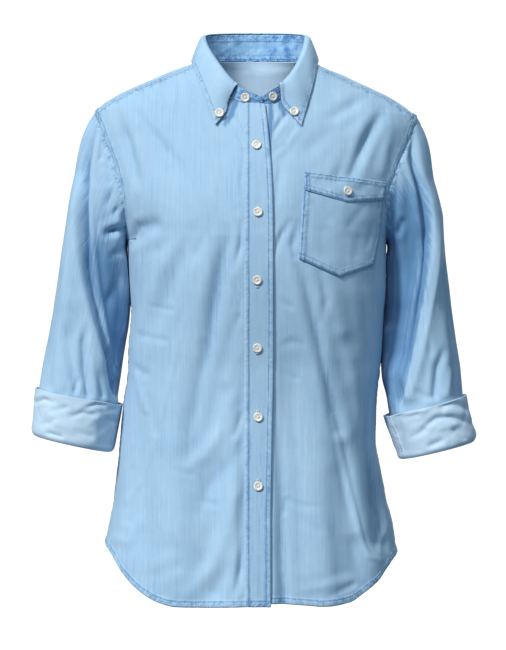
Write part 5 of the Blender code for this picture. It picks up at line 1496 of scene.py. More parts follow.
# ---- sleeves
def arm_loop(side, count):
    """Armhole points and angles, evenly by length on the front and the back."""
    z_tip = float(ridge(side, TIP_X))
    halves = []
    for back in (False, True):
        z = ARMPIT_Z + (z_tip - ARMPIT_Z) * (0.5 + 0.5 * np.cos(np.linspace(0, pi, 1500)))
        x = side * armhole(side, z, back)
        y = body_y(not back, x, z)
        y[0] = y[-1] = 0.0
        halves.append(np.stack([x, y, z], -1))
    h = count // 2
    ang, pts = [], []
    for k, arr in enumerate(halves):
        run = np.concatenate([[0], np.cumsum(np.linalg.norm(np.diff(arr, axis=0), axis=1))])
        ts = np.linspace(0, 1, h + 1)
        q = np.stack([np.interp(ts * run[-1], run, arr[:, a]) for a in range(3)], -1)
        if k == 0:
            f_ang, f_pts = 180 * ts, q
        else:
            b_ang, b_pts = -180 * ts, q
    # from under the arm, up the back, over the tip, down the front
    pts = np.concatenate([b_pts[::-1][:-1], f_pts[:-1]])
    ang = np.concatenate([b_ang[::-1][:-1], f_ang[:-1]])
    return pts, ang


def sleeve_fine(side, count, rows):
    loop, ang = arm_loop(side, count)
    sub = 8
    q, n = sleeve_surface(side, loop, np.radians(ang), sub, True)
    # resample the rings
    idx = rows * sub
    i0 = np.clip(np.floor(idx).astype(int), 0, len(q) - 2)
    t = (idx - i0)[:, None, None]
    p = q[i0] * (1 - t) + q[i0 + 1] * t
    nn = unit(n[i0] * (1 - t) + n[i0 + 1] * t)
    return p, nn, np.radians(ang)


# how far from the body the painted shade on a sleeve's inner side reaches (partly also less faded cloth): level, reach
INNER_SHADE_REACH = {-1: ((-412, -371, -323, -274, -209, -173), (16, 26, 40, 53, 60, 62)),
               1: ((-420, -345, -280, -190), (34, 50, 61, 66))}
sleeve_cloth = {}
total_rings = RINGS_CAP + RINGS_TUBE
rows_s = lines(0, total_rings, 0.11, (0.0,), 0.04, 0.6)
for side, name, table_f in ((-1, 'sleeve_right', FINE_SLEEVE_RIGHT), (1, 'sleeve_left', FINE_SLEEVE_LEFT)):
    p, n, ang = sleeve_fine(side, 196, rows_s)
    deg = np.degrees(ang)[None, :]
    total = np.zeros(p.shape[:2])
    for a0, z0, a1, z1, width, depth in table_f:
        if a0 < 0:
            total = total + 1.7 * fold_sum([(a0 * 0.94, z0, a1 * 0.94, z1, width, depth)], deg * 0.94, p[..., 2])
    u_, v_ = seen(p)
    facing = smooth(0.5 - n[..., 1] * 1.8)
    total = total + crease(CREASE_SLEEVE_RIGHT if side < 0 else CREASE_SLEEVE_LEFT, u_, v_, 1.45) * facing
    total = np.maximum(total, -4.5)
    away = smooth((side * p[..., 0] - (outline(side, np.minimum(p[..., 2], ARMPIT_Z)) + 3)) / 10.0)
    away = np.where(total > 0, np.maximum(away, 0.55), away)
    begin = smooth(cum(p, 0) / 16.0)
    w = np.abs(deg) / 180.0
    lr = np.minimum(np.abs(deg * 0.94 + 360), 400)
    u = 55 * np.sin(ang)[None, :]
    u2 = 55 * np.cos(ang)[None, :]
    cr = crumple(u + 60 * side + 0 * p[..., 2], p[..., 2] + 0.35 * u2, 81 if side < 0 else 91) * 0.75
    cr = cr + crumple(u2 + 400 + 0 * p[..., 2], p[..., 2], 85 if side < 0 else 95) * 0.55
    total = total + cr
    p = p - n * (total * away * begin)[..., None]
    gap = side * p[..., 0] - outline(side, np.minimum(p[..., 2], ARMPIT_Z))
    below = smooth((ARMPIT_Z - 6.0 - p[..., 2]) / 22.0)
    # the left sleeve lies against the body, the right one near the armpit only
    close = below if side > 0 else below * smooth((p[..., 2] + 315.0) / 40.0)
    p[..., 0] -= side * np.clip(gap - 1.9, 0, 4.5) * smooth((15.0 - gap) / 10.0) * close
    # and the sleeve's outer side falls straight from the shoulder
    outer = smooth(np.cos(ang)[None, :] * 0.9 + 0.25) * np.exp(-((p[..., 2] + 134.0) / 46.0) ** 2) * begin
    p[..., 0] -= side * (3.6 if side < 0 else 5.8) * outer
    grain = np.stack([np.broadcast_to(deg * 0.94 + 5000 * side, p.shape[:2]), -cum(p, 0)], -1)
    cl = Cloth(p, n, grain, closed=True)
    # darker in the folds: partly less faded indigo, partly painted shade
    cl.wear_and_shade = cl.wear_and_shade + fold_shade_and_wear(total * away * begin, 0.15)
    # painted shade where the sleeve faces the body, partly also less faded cloth
    reach = np.interp(p[..., 2], *INNER_SHADE_REACH[side])
    cl.wear_and_shade = cl.wear_and_shade - (0.95 if side < 0 else 1.35) * smooth((reach - gap) / 15.0) * smooth(((-185.0 if side < 0 else -115.0) - p[..., 2]) / 70.0)
    cl.seam('top', width=4.0, height=0.0, pucker=1.0, wave=7.5, skew=0.4, groove=0.0, stitches=(), seed=83, reach=12, rope=0.8)
    # felled seam under the arm
    dseam = np.abs(np.abs(deg) - 163.0) * 0.94 + 0 * p[..., 2]
    front_half = np.broadcast_to(deg > 0, p.shape[:2])
    dseam = np.where(front_half, dseam, 90.0)
    run = cum(p, 0)
    wv = noise2(run / 4.5, dseam / 8.0, 87) * np.exp(-(dseam / 6.5) ** 2) * away
    cl.p = cl.p + cl.n * (0.35 * wv + 0.35 * smooth((4.0 - dseam) / 1.5) * away)[..., None]
    cl.wear_and_shade = cl.wear_and_shade + wv * 0.9
    cl.near = np.minimum(cl.near, dseam)
    cl.run = np.where(dseam <= cl.near, run, cl.run)
    sleeve_cloth[name] = cl
    build(name + '_cloth', cl, VIS, BODY_MATS, node=name)


# ---- turned-up cuffs
def cuff_rings(side, table, sleeve_table, angles, sub):
    top, low = table
    mix = lambda v: tuple(l + (t - l) * v for t, l in zip(top, low))
    rows = [column([(i,) + r for i, r in enumerate(sleeve_table)], 0, k + 1) for k in range(6)]
    end = tuple(float(f(len(sleeve_table) - 1)) for f in rows)
    up = tuple(float(f(len(sleeve_table) - 1.45)) for f in rows)
    fold = mix(-0.045)
    fold = (0.5 * (fold[0] + end[0]), 0.5 * (fold[1] + end[1]), fold[2], 0.5 * (low[3] + end[3] - 2.4), 0.5 * (low[4] + end[4] - 2.4), fold[5])
    keys = [mix(1.0), mix(0.66), mix(0.33), mix(0.05), fold,
            tuple(e - (2.4 if k in (3, 4) else 0) for k, e in enumerate(end)),
            tuple(e - (2.6 if k in (3, 4) else 0) for k, e in enumerate(up))]
    at = [0, 19, 38, 54, 60, 66, 80]
    curves = [Curve(at, [k[a] for k in keys]) for a in range(6)]
    s = np.concatenate([np.arange(0, 6, 0.8), np.arange(6, 50, 1.7), np.arange(50, 70, 0.9), np.arange(70, 80.1, 2.0)])
    rings = np.array([tube_ring(tuple(float(c(v)) for c in curves), side, angles) for v in s])
    return rings, s


for side, name, table, stable, sname, seam_deg in ((-1, 'turnup_right', CUFF_RIGHT, SLEEVE_RIGHT, 'sleeve_right', 156.0), (1, 'turnup_left', CUFF_LEFT, SLEEVE_LEFT, 'sleeve_left', 152.0)):
    ang = np.radians(np.linspace(-180, 180, 193)[:-1])
    p, s = cuff_rings(side, table, stable, ang, 1)
    p = clear_body(side, p, 2.3, ARMPIT_Z)
    along, around = np.gradient(p, axis=0), np.roll(p, -1, axis=1) - np.roll(p, 1, axis=1)
    n = unit(np.cross(along, around))
    centre = p[:10].mean(axis=(0, 1))
    if np.sum((p[5] - centre) * n[5]) < 0:
        n = -n
    deg = np.degrees(ang)[None, :]
    sv = s[:, None]
    outer_leg = smooth((58 - sv) / 8.0)
    circ = deg * 0.98
    cr = fbm(circ / 26.0 + 0.4 * np.sin(sv / 13.0), sv / 17.0 + circ / 60.0, 101 if side < 0 else 111, 3) * 0.8
    cr = cr + 0.5 * np.abs(fbm(circ / 34.0 - sv / 30.0, sv / 20.0, 105, 2)) ** 0.8
    # slanting soft creases of a rolled cuff
    for k, (a0, s0, a1, s1, w_, dp) in enumerate([(15, 8, 48, 40, 3.2, 1.5), (60, 4, 95, 30, 3.4, 1.4), (52, 38, 100, 50, 3.0, 1.2), (110, 14, 138, 44, 3.2, 1.3), (-30, 6, -62, 40, 3.4, 1.4), (-90, 10, -120, 42, 3.2, 1.4), (-4, 30, 24, 52, 3.0, 1.0), (78, 20, 122, 26, 2.8, 0.9), (-140, 8, -160, 46, 3.2, 1.2), (172, 6, 178, 50, 3.0, 0.9)]):
        shift = 6 if side > 0 else 0
        cr = cr + fold_sum([((a0 + shift) * 0.98, s0, (a1 + shift) * 0.98, s1, w_, dp)], circ + 0 * sv, sv + 0 * circ)
    u_, v_ = seen(p)
    facing = smooth(0.35 - n[..., 1] * 1.6)
    cr = cr * (0.75 - 0.45 * facing) + crease(CREASE_CUFF_RIGHT if side < 0 else CREASE_CUFF_LEFT, u_, v_) * facing
    away = smooth((side * p[..., 0] - (outline(side, np.minimum(p[..., 2], ARMPIT_Z)) + 3.5)) / 8.0)
    top_edge = smooth(sv / 3.0)
    cr = np.clip(cr, -1.6, 2.8) * outer_leg * away * (0.35 + 0.65 * top_edge)
    p = p - n * cr[..., None]
    p[..., 2] += 1.1 * noise2(circ / 30.0, 0.3, 103) * smooth((30 - sv) / 30.0)
    cl = Cloth(p, n, np.stack([np.broadcast_to(circ + 8000 * side, p.shape[:2]), np.broadcast_to(-sv, p.shape[:2])], -1), closed=True)
    # darker in the folds: partly less faded indigo, partly painted shade
    cl.wear_and_shade = cl.wear_and_shade + fold_shade_and_wear(cr, 0.22)
    d = np.abs(deg - seam_deg) * 0.98 + 0 * sv
    run = cum(p, 0)
    wv = noise2(run / 4.0, d / 7.0, 107) * np.exp(-(d / 7.5) ** 2)
    band = smooth((3.8 - d) / 1.2)
    cl.p = cl.p + cl.n * ((0.55 * band + 0.35 * wv) * outer_leg * away)[..., None]
    cl.wear_and_shade = cl.wear_and_shade + wv * 0.9 * outer_leg - band * 0.55 * outer_leg
    cl.near = np.where(d < 12, d, 60.0)
    cl.run = run
    cl.near = np.minimum(cl.near, np.where(sv < 3, 6.0, 60.0))
    build(name + '_cloth', cl, 1.5, [DENIM_BACK, DENIM_BACK], node=name)
    for off in (-3.4, 3.4):
        k = int(np.argmin(np.abs(deg[0] - seam_deg - off)))
        m = s < 55
        add_stitches(cl.p[m, k] + cl.n[m, k] * 0.75, cl.n[m, k], kind='white', radius=0.3)
    m_k = [i for i in range(len(s)) if abs(s[i] - 3.2) < 0.45][:1]


# ---------------------------------------------------------------- collar
def spline_rows(p, t_new, axis=0):
    """Cubic spline through the rows of p, by mean chord length."""
    p = np.moveaxis(p, axis, 0)
    n = p.shape[0]
    flat = p.reshape(n, -1)
    step = np.linalg.norm(np.diff(p.reshape(n, -1, 3), axis=0), axis=-1).mean(axis=1)
    t = np.concatenate([[0], np.cumsum(step)])
    h = np.diff(t)
    a = np.zeros((n, n))
    rhs = np.zeros((n, flat.shape[1]))
    a[0, 0] = a[-1, -1] = 1.0
    for i in range(1, n - 1):
        a[i, i - 1], a[i, i], a[i, i + 1] = h[i - 1], 2 * (h[i - 1] + h[i]), h[i]
        rhs[i] = 6 * ((flat[i + 1] - flat[i]) / h[i] - (flat[i] - flat[i - 1]) / h[i - 1])
    m = np.linalg.solve(a, rhs)
    q = np.interp(t_new, np.arange(n), t)
    i = np.clip(np.searchsorted(t, q, side='right') - 1, 0, n - 2)
    d0, d1, hh = (q - t[i])[:, None], (t[i + 1] - q)[:, None], h[i][:, None]
    out = m[i] * d1 ** 3 / (6 * hh) + m[i + 1] * d0 ** 3 / (6 * hh) + (flat[i] / hh - m[i] * hh / 6) * d1 + (flat[i + 1] / hh - m[i + 1] * hh / 6) * d0
    return np.moveaxis(out.reshape((len(q),) + p.shape[1:]), 0, axis)


def grid_normals(p, hint):
    n = unit(np.cross(np.gradient(p, axis=0), np.gradient(p, axis=1)))
    return n * np.where(np.sum(n * hint, -1, keepdims=True) < 0, -1, 1)


gx, gz, _ = front_grid(-1)
fr = front_point(-1, gx, gz)[0]
gx, gz, _ = front_grid(1)
fl = front_point(1, gx, gz)[0]
yp = yoke_grid()[0]
mid_col = yp.shape[1] // 2
neck_cols = len(NECK_BACK)                       # yoke columns between the seams, one side
base = []
tops = []
first_x = 8.0
y0 = float(body_y(True, np.array(first_x), np.array(-51.5)))
base.append((first_x, y0 - STACK - 0.1, -51.5))
base.append((-3.0, float(body_y(True, np.array(-3.0), np.array(-51.5))) - STACK - 0.1, -51.2))
for c in range(2, 7):
    base.append(tuple(fr[0, c]))
for k in range(neck_cols - 1, 0, -1):
    base.append(tuple(yp[0, mid_col - k]))
base.append(tuple(yp[0, mid_col]))
for k in range(1, neck_cols):
    base.append(tuple(yp[0, mid_col + k]))
for c in range(6, 1, -1):
    base.append(tuple(fl[0, c]))
base.append((5.5, float(body_y(True, np.array(5.5), np.array(-51.0))) + 0.4, -51.2))
tops = list(FOLD_LINE_RIGHT) + [FOLD_LINE_MID] + list(reversed(FOLD_LINE_LEFT))
base, tops = np.array(base), np.array(tops)
up = unit(tops - base)
stand = []
for v in (0.0, 0.5, 1.0):
    q = base + up * 1.05
    stand.append(q + (tops - q) * v)
stand = np.array(stand)

# collar fall: caps the stand, rolls over it and hangs down outside
head = np.array(tops[3:-2])
first = np.array([-22.6, -74.9, -26.6])
last = np.array([29.0, -72.8, -26.2])
head = np.vstack([first, head, last])
b_mid = np.array(base[3:-2])
b_head = np.vstack([b_mid[:1], b_mid, b_mid[-1:]])
leaf = list(LEAF_RIGHT) + [LEAF_MID] + list(reversed(LEAF_LEFT))
edge = []
for x, y, z in leaf:
    if y is None:
        y = float(body_y(True, np.array(float(x)), np.array(float(z)))) - 3.9
    edge.append((x, y, z))
edge = np.array(edge)
assert len(edge) == len(head), (len(edge), len(head))
UP = unit(head - b_head)
centre = np.array([0.0, -10.0, 0.0])
tan = np.gradient(head, axis=0)
out = unit(np.cross(UP, tan))
flip = np.sign(np.sum(out * (head - centre), -1, keepdims=True))
out = out * flip
fall = []
for j in range(len(head)):
    q0 = head[j] + UP[j] * 1.45 - out[j] * 0.7
    q1 = head[j] + UP[j] * 1.6 + out[j] * 2.6
    length = np.linalg.norm(edge[j] - q1)
    c1 = q1 + out[j] * length * 0.16 - UP[j] * length * 0.10
    c2 = edge[j] + (q1 - edge[j]) * 0.45 + out[j] * length * 0.07
    rowp = [q0, q1]
    for t in (0.27, 0.62, 1.0):
        rowp.append((1 - t) ** 3 * q1 + 3 * t * (1 - t) ** 2 * c1 + 3 * t * t * (1 - t) * c2 + t ** 3 * edge[j])
    fall.append(rowp)
fall = np.array(fall).transpose(1, 0, 2)
for j, table in ((0, POINT_EDGE_RIGHT), (-1, POINT_EDGE_LEFT)):
    for r, (x, z, off) in enumerate(table):
        if r == 0:
            continue
        y = float(body_y(True, np.array(x), np.array(z))) - off
        fall[r, j] = (x, min(y, -77.0 - 0.9 * r), z)
# keep the leaf clear of the fronts and of the stand
for r in range(2, fall.shape[0]):
    for j in range(fall.shape[1]):
        x, y, z = fall[r, j]
        if y < 0 and z < 6:
            lim = float(body_y(True, np.array(x), np.array(z))) - 3.9
            fall[r, j, 1] = min(y, lim)


# stand: the band that shows inside the neck
cols_k = lines(0, stand.shape[1] - 1, 0.13, (0.0, stand.shape[1] - 1), 0.06, 0.5)
rows_k = np.linspace(0, 2, 34)
fine_stand = spline_rows(stand, cols_k, axis=1)
s0_, s1_, s2_ = fine_stand
fine_stand = np.stack([(1 - v) * (2 - v) / 2 * s0_ + v * (2 - v) * s1_ + v * (v - 1) / 2 * s2_ for v in rows_k])
c_mid = np.array([0.0, -8.0, 0.0])
hint = (fine_stand - c_mid) * np.array([1, 1, 0.0])
sn_ = grid_normals(fine_stand, hint)
st = Cloth(fine_stand[::-1], sn_[::-1], np.stack([np.cumsum(np.ones(fine_stand.shape[:2]), 1) * 2.3 + 3000, np.zeros(fine_stand.shape[:2])], -1))
st.grain = np.stack([st.along_c + 3000, st.along_r * 1.0], -1)
end_fade = smooth(np.minimum(st.along_c, st.along_c[:, -1:] - st.along_c) / 26.0)
wrinkle = fbm(st.along_c / 8.0 + st.along_r / 16.0, st.along_r / 10.0, 122, 3)
st.move(-(crumple(st.along_c * 2.2 + 40, st.along_r * 2.6, 121) * 0.30 + 0.45 * wrinkle) * end_fade)
st.wear_and_shade = st.wear_and_shade + 0.75 * wrinkle * (0.35 + 0.65 * end_fade)
st.seam('top', width=9.0, height=0.15, pucker=0.95, rope=1.1, wave=7.5, skew=-0.9, groove=0.40, stitches=(8.0,), seed=123, reach=10)
st.seam('bottom', width=7.5, height=0.35, pucker=0.9, rope=1.1, wave=6.5, skew=0.7, groove=0.35, stitches=(3.0,), seed=125, reach=9)
for sd in ('left', 'right'):
    st.seam(sd, width=4.0, height=0.1, pucker=0.2, wave=6.0, skew=0.2, groove=0.25, stitches=(2.2,), seed=127, reach=5)
# painted shade on the wearer's left end, which lies deeper under the collar
st.wear_and_shade = st.wear_and_shade - 1.0 * smooth((st.p[..., 0] - 11.0) / 6.0) * smooth((-10.0 - st.p[..., 1]) / 14.0)
build('collar_stand_cloth', st, VIS, [DENIM_BAND, DENIM_BAND], node='collar_stand')
for at_, rad in ((8.0, 0.26), ):
    a, b = st.line('top', at_)
    add_stitches(a - b * 0.62, -b, kind='pale', radius=rad)
a, b = st.line('bottom', 3.0)
add_stitches(a - b * 0.62, -b, kind='pale')
add_stitches(a + b * 0.62, b, kind='pale')
a, b = st.line('top', 2.4)
m = np.abs(a[:, 0]) < 34
m &= a[:, 1] < -20
for lo_hi in (a[:, 0] < 0, a[:, 0] >= 0):
    mm = m & lo_hi
    add_stitches(a[mm] + b[mm] * 0.62, b[mm], kind='pale')

# fall: caps the stand and hangs outside it
cols_f = lines(0, fall.shape[1] - 1, 0.10, (0.0, fall.shape[1] - 1), 0.05, 0.6)
rows_f = np.concatenate([np.linspace(0, 1, 8)[:-1], lines(1, 4, 0.075, (4.0,), 0.035, 0.4)])
ff = spline_rows(fall, cols_f, axis=1)
ff = spline_rows(ff, rows_f, axis=0)
ny = np.array([0.0, -8.0, -20.0])
fn_ = grid_normals(ff, (ff - ny) * np.array([1, 1, 0.3]))
along = cum(ff, 0)
lip = np.clip((5.5 - along) / 5.5, 0, 1)
# the top lip turns over: normals there point up and then inwards
fc = Cloth(ff, fn_, np.zeros(ff.shape[:2] + (2,)))
fc.grain = np.stack([fc.along_c + 4000, fc.along_r], -1)
fc.move(-crumple(fc.along_c * 1.4 + 12, fc.along_r * 1.8, 131) * 0.34 * smooth((fc.along_r - 6) / 14.0))
fc.seam('bottom', width=6.4, height=0.35, pucker=0.46, wave=5.5, skew=0.5, groove=0.38, stitches=(5.6,), seed=133, reach=7, rope=0.7, edge=1.0)
for sd in ('left', 'right'):
    fc.seam(sd, width=6.0, height=0.35, pucker=0.40, wave=5.0, skew=0.4, groove=0.38, stitches=(5.2,), seed=135, reach=6, rope=0.6, edge=1.0)
build('collar_fall_cloth', fc, VIS, [DENIM_PLAIN, DENIM_PLAIN], node='collar_fall')
a, b = fc.line('bottom', 5.6)
k0, k1 = 5, len(a) - 5
add_stitches(a[k0:k1] + b[k0:k1] * 0.6, b[k0:k1], kind='pale')
for sd in ('left', 'right'):
    a, b = fc.line(sd, 5.2, 8.0)
    if len(a) > 12:
        add_stitches(a[:-10] + b[:-10] * 0.6, b[:-10], kind='pale')


# ---------------------------------------------------------------- pocket
def patch_fine(corners, us, vs, lift):
    tl, tr = np.array(corners['tl'], float), np.array(corners['tr'], float)
    bl, br, pt = np.array(corners['bl'], float), np.array(corners['br'], float), np.array(corners['pt'], float)
    U, V = np.meshgrid(us, vs)
    head_ = tl + (tr - tl) * U[..., None]
    foot = np.where(U[..., None] <= 0.5, bl + (pt - bl) * (U[..., None] / 0.5), pt + (br - pt) * ((U[..., None] - 0.5) / 0.5))
    q = head_ + (foot - head_) * V[..., None]
    if 'rm' in corners:
        mid_ = (tr + br) / 2
        q = q + (np.array(corners['rm']) - mid_) * (U * 4 * V * (1 - V))[..., None]
    p_, n_ = front_point(1, q[..., 0], q[..., 1])
    # the cloth below carries finer folds too
    p_ = p_ - n_ * relief(1, p_, q[..., 0], q[..., 1])[..., None]
    return p_ + n_ * lift, n_, q


POCKET_LIFT = STACK + 0.45
FLAP_LIFT = POCKET_LIFT + STACK + 0.25
us = lines(0, 1, 0.017, (0.0, 0.5, 1.0), 0.010, 0.14)
vs = lines(0, 1, 0.015, (0.0, 1.0), 0.008, 0.12)
p, n, q = patch_fine(POCKET, us, vs, POCKET_LIFT)
pk = Cloth(p, n, q)
body = smooth((np.minimum(np.minimum(pk.dist('left')[0], pk.dist('right')[0]), pk.dist('bottom')[0]) - 4) / 16.0)
x, z = q[..., 0], q[..., 1]
POCKET_FOLDS = [(66, -172, 92, -200, 6, 1.3), (134, -178, 112, -206, 6, 1.0), (80, -206, 84, -248, 8, 0.9), (128, -214, 122, -246, 8, 0.8), (104, -172, 106, -214, 10, -0.9), (62, -228, 78, -248, 4, 0.7), (146, -196, 136, -232, 4, 0.7)]
pk.move((fold_sum(POCKET_FOLDS, x, z) + crumple(x * 1.3 + 70, z * 1.2, 141) * 0.42) * body)
for sd, sk in (('left', 0.5), ('right', -0.5)):
    pk.seam(sd, width=8.0, height=0.45, pucker=0.42, wave=7.0, skew=sk, groove=0.42, stitches=(1.6, 7.0), seed=143, reach=8, rope=0.5, edge=0.35)
pk.seam('bottom', width=8.0, height=0.45, pucker=0.42, wave=7.0, skew=0.5, groove=0.42, stitches=(1.6, 7.0), seed=145, reach=8, rope=0.5, edge=0.35)
for sd in ('left', 'right', 'bottom'):
    d, _ = pk.dist(sd)
    pk.p = pk.p - pk.n * (0.7 * np.exp(-(d / 0.8) ** 2))[..., None]
build('pocket_cloth', pk, VIS, BODY_MATS, node='pocket')
for sd in ('left', 'right'):
    for at_ in (1.6, 7.0):
        a, b = pk.line(sd, at_, 0.0, pk.dist(sd)[1].max() - (at_ - 1.0))
        add_stitches(a + b * 0.6, b, kind='blue' if at_ < 3 else 'pale', length=2.3, gap=0.8, radius=0.25)
for at_ in (1.6, 7.0):
    a, b = pk.line('bottom', at_)
    k = max(1, int(at_ * 0.7))
    add_stitches(a[k:-k] + b[k:-k] * 0.6, b[k:-k], kind='blue' if at_ < 3 else 'pale', length=2.3, gap=0.8, radius=0.25)

us = lines(0, 1, 0.016, (0.0, 0.5, 1.0), 0.009, 0.12)
vs = np.linspace(0, 1, 34)
p, n, q = patch_fine(FLAP, us, vs, FLAP_LIFT)
fp = Cloth(p, n, q + np.array([40.0, 7.0]))
x, z = q[..., 0], q[..., 1]
FLAP_FOLDS = [(76, -146, 90, -160, 6, 0.9), (104, -150, 106, -164, 9, -0.6), (136, -148, 126, -162, 6, 0.8)]
fp.move((fold_sum(FLAP_FOLDS, x, z) + crumple(x * 1.5 + 20, z * 1.5, 151) * 0.3))
for sd, sk in (('left', 0.5), ('right', -0.5), ('bottom', 0.5)):
    fp.seam(sd, width=6.8, height=0.40, pucker=0.42, wave=6.5, skew=sk, groove=0.40, stitches=(1.6, 6.0), seed=153, reach=7, rope=0.7, edge=0.5)
fp.seam('top', width=6.6, height=0.30, pucker=0.42, wave=6.0, skew=0.4, groove=0.40, stitches=(1.6, 6.0), seed=155, reach=7, rope=0.7, edge=0.5)
for sd in ('left', 'right', 'bottom', 'top'):
    d, _ = fp.dist(sd)
    fp.p = fp.p - fp.n * (0.6 * np.exp(-(d / 0.8) ** 2))[..., None]
# darker strip, finely striped, beside the flap's first corner
dl, sl = fp.dist('left')
fp.wear_and_shade = fp.wear_and_shade - 1.5 * smooth((7.0 - dl) / 1.0) * smooth((dl - 1.8) / 0.8) * smooth((sl - 3.4) / 1.0) * smooth((18.5 - sl) / 2.0) * (0.75 + 0.25 * np.sin(dl * 2.6))
build('pocket_flap_cloth', fp, VIS, BODY_MATS, node='pocket_flap')
for sd in ('left', 'right', 'bottom', 'top'):
    for at_ in (1.6, 6.0):
        a, b = fp.line(sd, at_)
        k = 1 if at_ < 3 else 3
        add_stitches(a[k:-k] + b[k:-k] * 0.6, b[k:-k], kind='blue' if at_ < 3 else 'pale', length=2.3, gap=0.8, radius=0.25)
# bar tack at that corner
for at_ in (0.5, 1.0, 1.5, 2.0, 2.5, 3.0):
    a, b = fp.line('top', at_, 0.4, 8.4)
    add_stitches(a + b * 0.75, b, kind='blue', length=7.0, gap=0.2, radius=0.30)


# ---------------------------------------------------------------- buttons
def pearl(name):
    m, nt, b = clear_nodes(name)
    co = node(nt, 'ShaderNodeTexCoord').outputs['Object']
    n1 = noise_node(nt, mapped(nt, co, (260, 90, 200)), 1.0, 3.0, 0.6, 0.8)
    n2 = noise_node(nt, mapped(nt, co, (900, 900, 900)), 1.0, 2.0, 0.5)
    t = spread(nt, n1, 0.3, 0.7)
    col = mix_colour(nt, t, (0.62, 0.57, 0.48), (0.85, 0.82, 0.76))
    col = mix_colour(nt, link_math(nt, 'MULTIPLY', spread(nt, n2, 0.45, 0.75), 0.25), col, (0.62, 0.64, 0.66))
    nt.links.new(col, b.inputs['Base Color'])
    nt.links.new(spread(nt, n1, 0.2, 0.8, 0.20, 0.36), b.inputs['Roughness'])
    b.inputs['Specular IOR Level'].default_value = 0.55
    b.inputs['Coat Weight'].default_value = 0.35
    b.inputs['Coat Roughness'].default_value = 0.12
    b.inputs['Subsurface Weight'].default_value = 0.0
    return m


PEARL = pearl('button_pearl')
thread_jobs = []


def lathe_button(name, node_name, spin=0.0, tilt=0.0):
    """Dished four-hole button with a rolled rim, on its solid's own place."""
    ob_cad = frame['nodes'][node_name] if isinstance(frame['nodes'], dict) else bpy.data.objects[node_name]
    v = np.array([w.co for w in ob_cad.data.vertices])
    ctr = (v.min(0) + v.max(0)) / 2
    c = v.mean(0)
    u_, s_, vt = np.linalg.svd(v - c, full_matrices=False)
    axis = vt[2]
    if axis[1] > 0:
        axis = -axis
    # outline of a button, radius and height from its middle, in millimetres
    top = [(0.0, 0.32), (1.2, 0.32), (2.2, 0.34), (2.9, 0.42), (3.5, 0.72), (4.1, 1.02), (4.7, 1.14), (5.2, 1.05), (5.55, 0.78), (5.72, 0.35)]
    low = [(5.72, -0.2), (5.55, -0.62), (5.2, -0.92), (4.5, -1.08), (3.0, -1.12), (0.0, -1.12)]
    prof = top + low
    seg = 40
    up = Vector(axis)
    rot = up.to_track_quat('Z', 'Y').to_matrix()
    bm = bmesh.new()
    rings = []
    for r, h in prof:
        if r == 0.0:
            rings.append([bm.verts.new((0, 0, h * MM))])
        else:
            rings.append([bm.verts.new((r * cos(2 * pi * k / seg) * MM, r * sin(2 * pi * k / seg) * MM, h * MM)) for k in range(seg)])
    for a, b in zip(rings[:-1], rings[1:]):
        for k in range(seg):
            k1 = (k + 1) % seg
            if len(a) == 1:
                bm.faces.new((a[0], b[k], b[k1]))
            elif len(b) == 1:
                bm.faces.new((a[k], b[0], a[k1]))
            else:
                bm.faces.new((a[k], b[k], b[k1], a[k1]))
    bmesh.ops.recalc_face_normals(bm, faces=bm.faces)
    mesh = bpy.data.meshes.new(name)
    bm.to_mesh(mesh)
    bm.free()
    ob = bpy.data.objects.new(name, mesh)
    scene.collection.objects.link(ob)
    # four holes, cut right through
    cm = bpy.data.meshes.new(name + '_cut')
    bm = bmesh.new()
    for sx in (-1, 1):
        for sy in (-1, 1):
            bmesh.ops.create_cone(bm, cap_ends=True, segments=14, radius1=0.62 * MM, radius2=0.62 * MM, depth=6 * MM,
                                  matrix=Matrix.Translation((sx * 1.15 * MM, sy * 1.15 * MM, 0)))
    bm.to_mesh(cm)
    bm.free()
    cut = bpy.data.objects.new(name + '_cut', cm)
    scene.collection.objects.link(cut)
    mod = ob.modifiers.new('holes', 'BOOLEAN')
    mod.operation, mod.solver, mod.object = 'DIFFERENCE', 'EXACT', cut
    dg = bpy.context.evaluated_depsgraph_get()
    done = bpy.data.meshes.new_from_object(ob.evaluated_get(dg))
    ob.modifiers.clear()
    ob.data = done
    bpy.data.objects.remove(cut, do_unlink=True)
    done.polygons.foreach_set('use_smooth', np.ones(len(done.polygons), bool))
    done.set_sharp_from_angle(angle=radians(42))
    done.materials.clear()
    done.materials.append(PEARL)
    pose = rot.to_4x4() @ Matrix.Rotation(spin, 4, 'Z')
    # centre of the solid along its axis
    h = (v - ctr) @ axis
    centre = Vector(ctr) + up * float((h.max() + h.min()) / 2)
    pose = Matrix.Translation(centre) @ pose
    done.transform(pose)
    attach(ob, 'root')
    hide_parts(node_name)
    # thread: two crossed strands over the face, and a shank beneath
    P = lambda x_, y_, z_: np.array(pose @ Vector((x_ * MM, y_ * MM, z_ * MM))) / MM
    upn = np.array(axis, float)
    for k, (ax, ay, bx, by) in enumerate(((-1.15, -1.15, 1.15, 1.15), (-1.15, 1.15, 1.15, -1.15))):
        for o in (-0.22, 0.0, 0.22):
            a_, b_ = P(ax + o, ay - o * np.sign(bx - ax) * np.sign(by - ay), 0.55 + 0.12 * k), P(bx + o, by - o * np.sign(bx - ax) * np.sign(by - ay), 0.55 + 0.12 * k)
            thread_jobs.append((a_[None], b_[None], upn[None], 0.20))
    for k in range(4):
        w = pi / 4 + k * pi / 2
        a_, b_ = P(0.7 * cos(w), 0.7 * sin(w), -1.0), P(0.7 * cos(w), 0.7 * sin(w), -2.2)
        thread_jobs.append((b_[None], a_[None], np.array(P(1, 0, 0) - P(0, 0, 0))[None], 0.34))
    return ob, pose


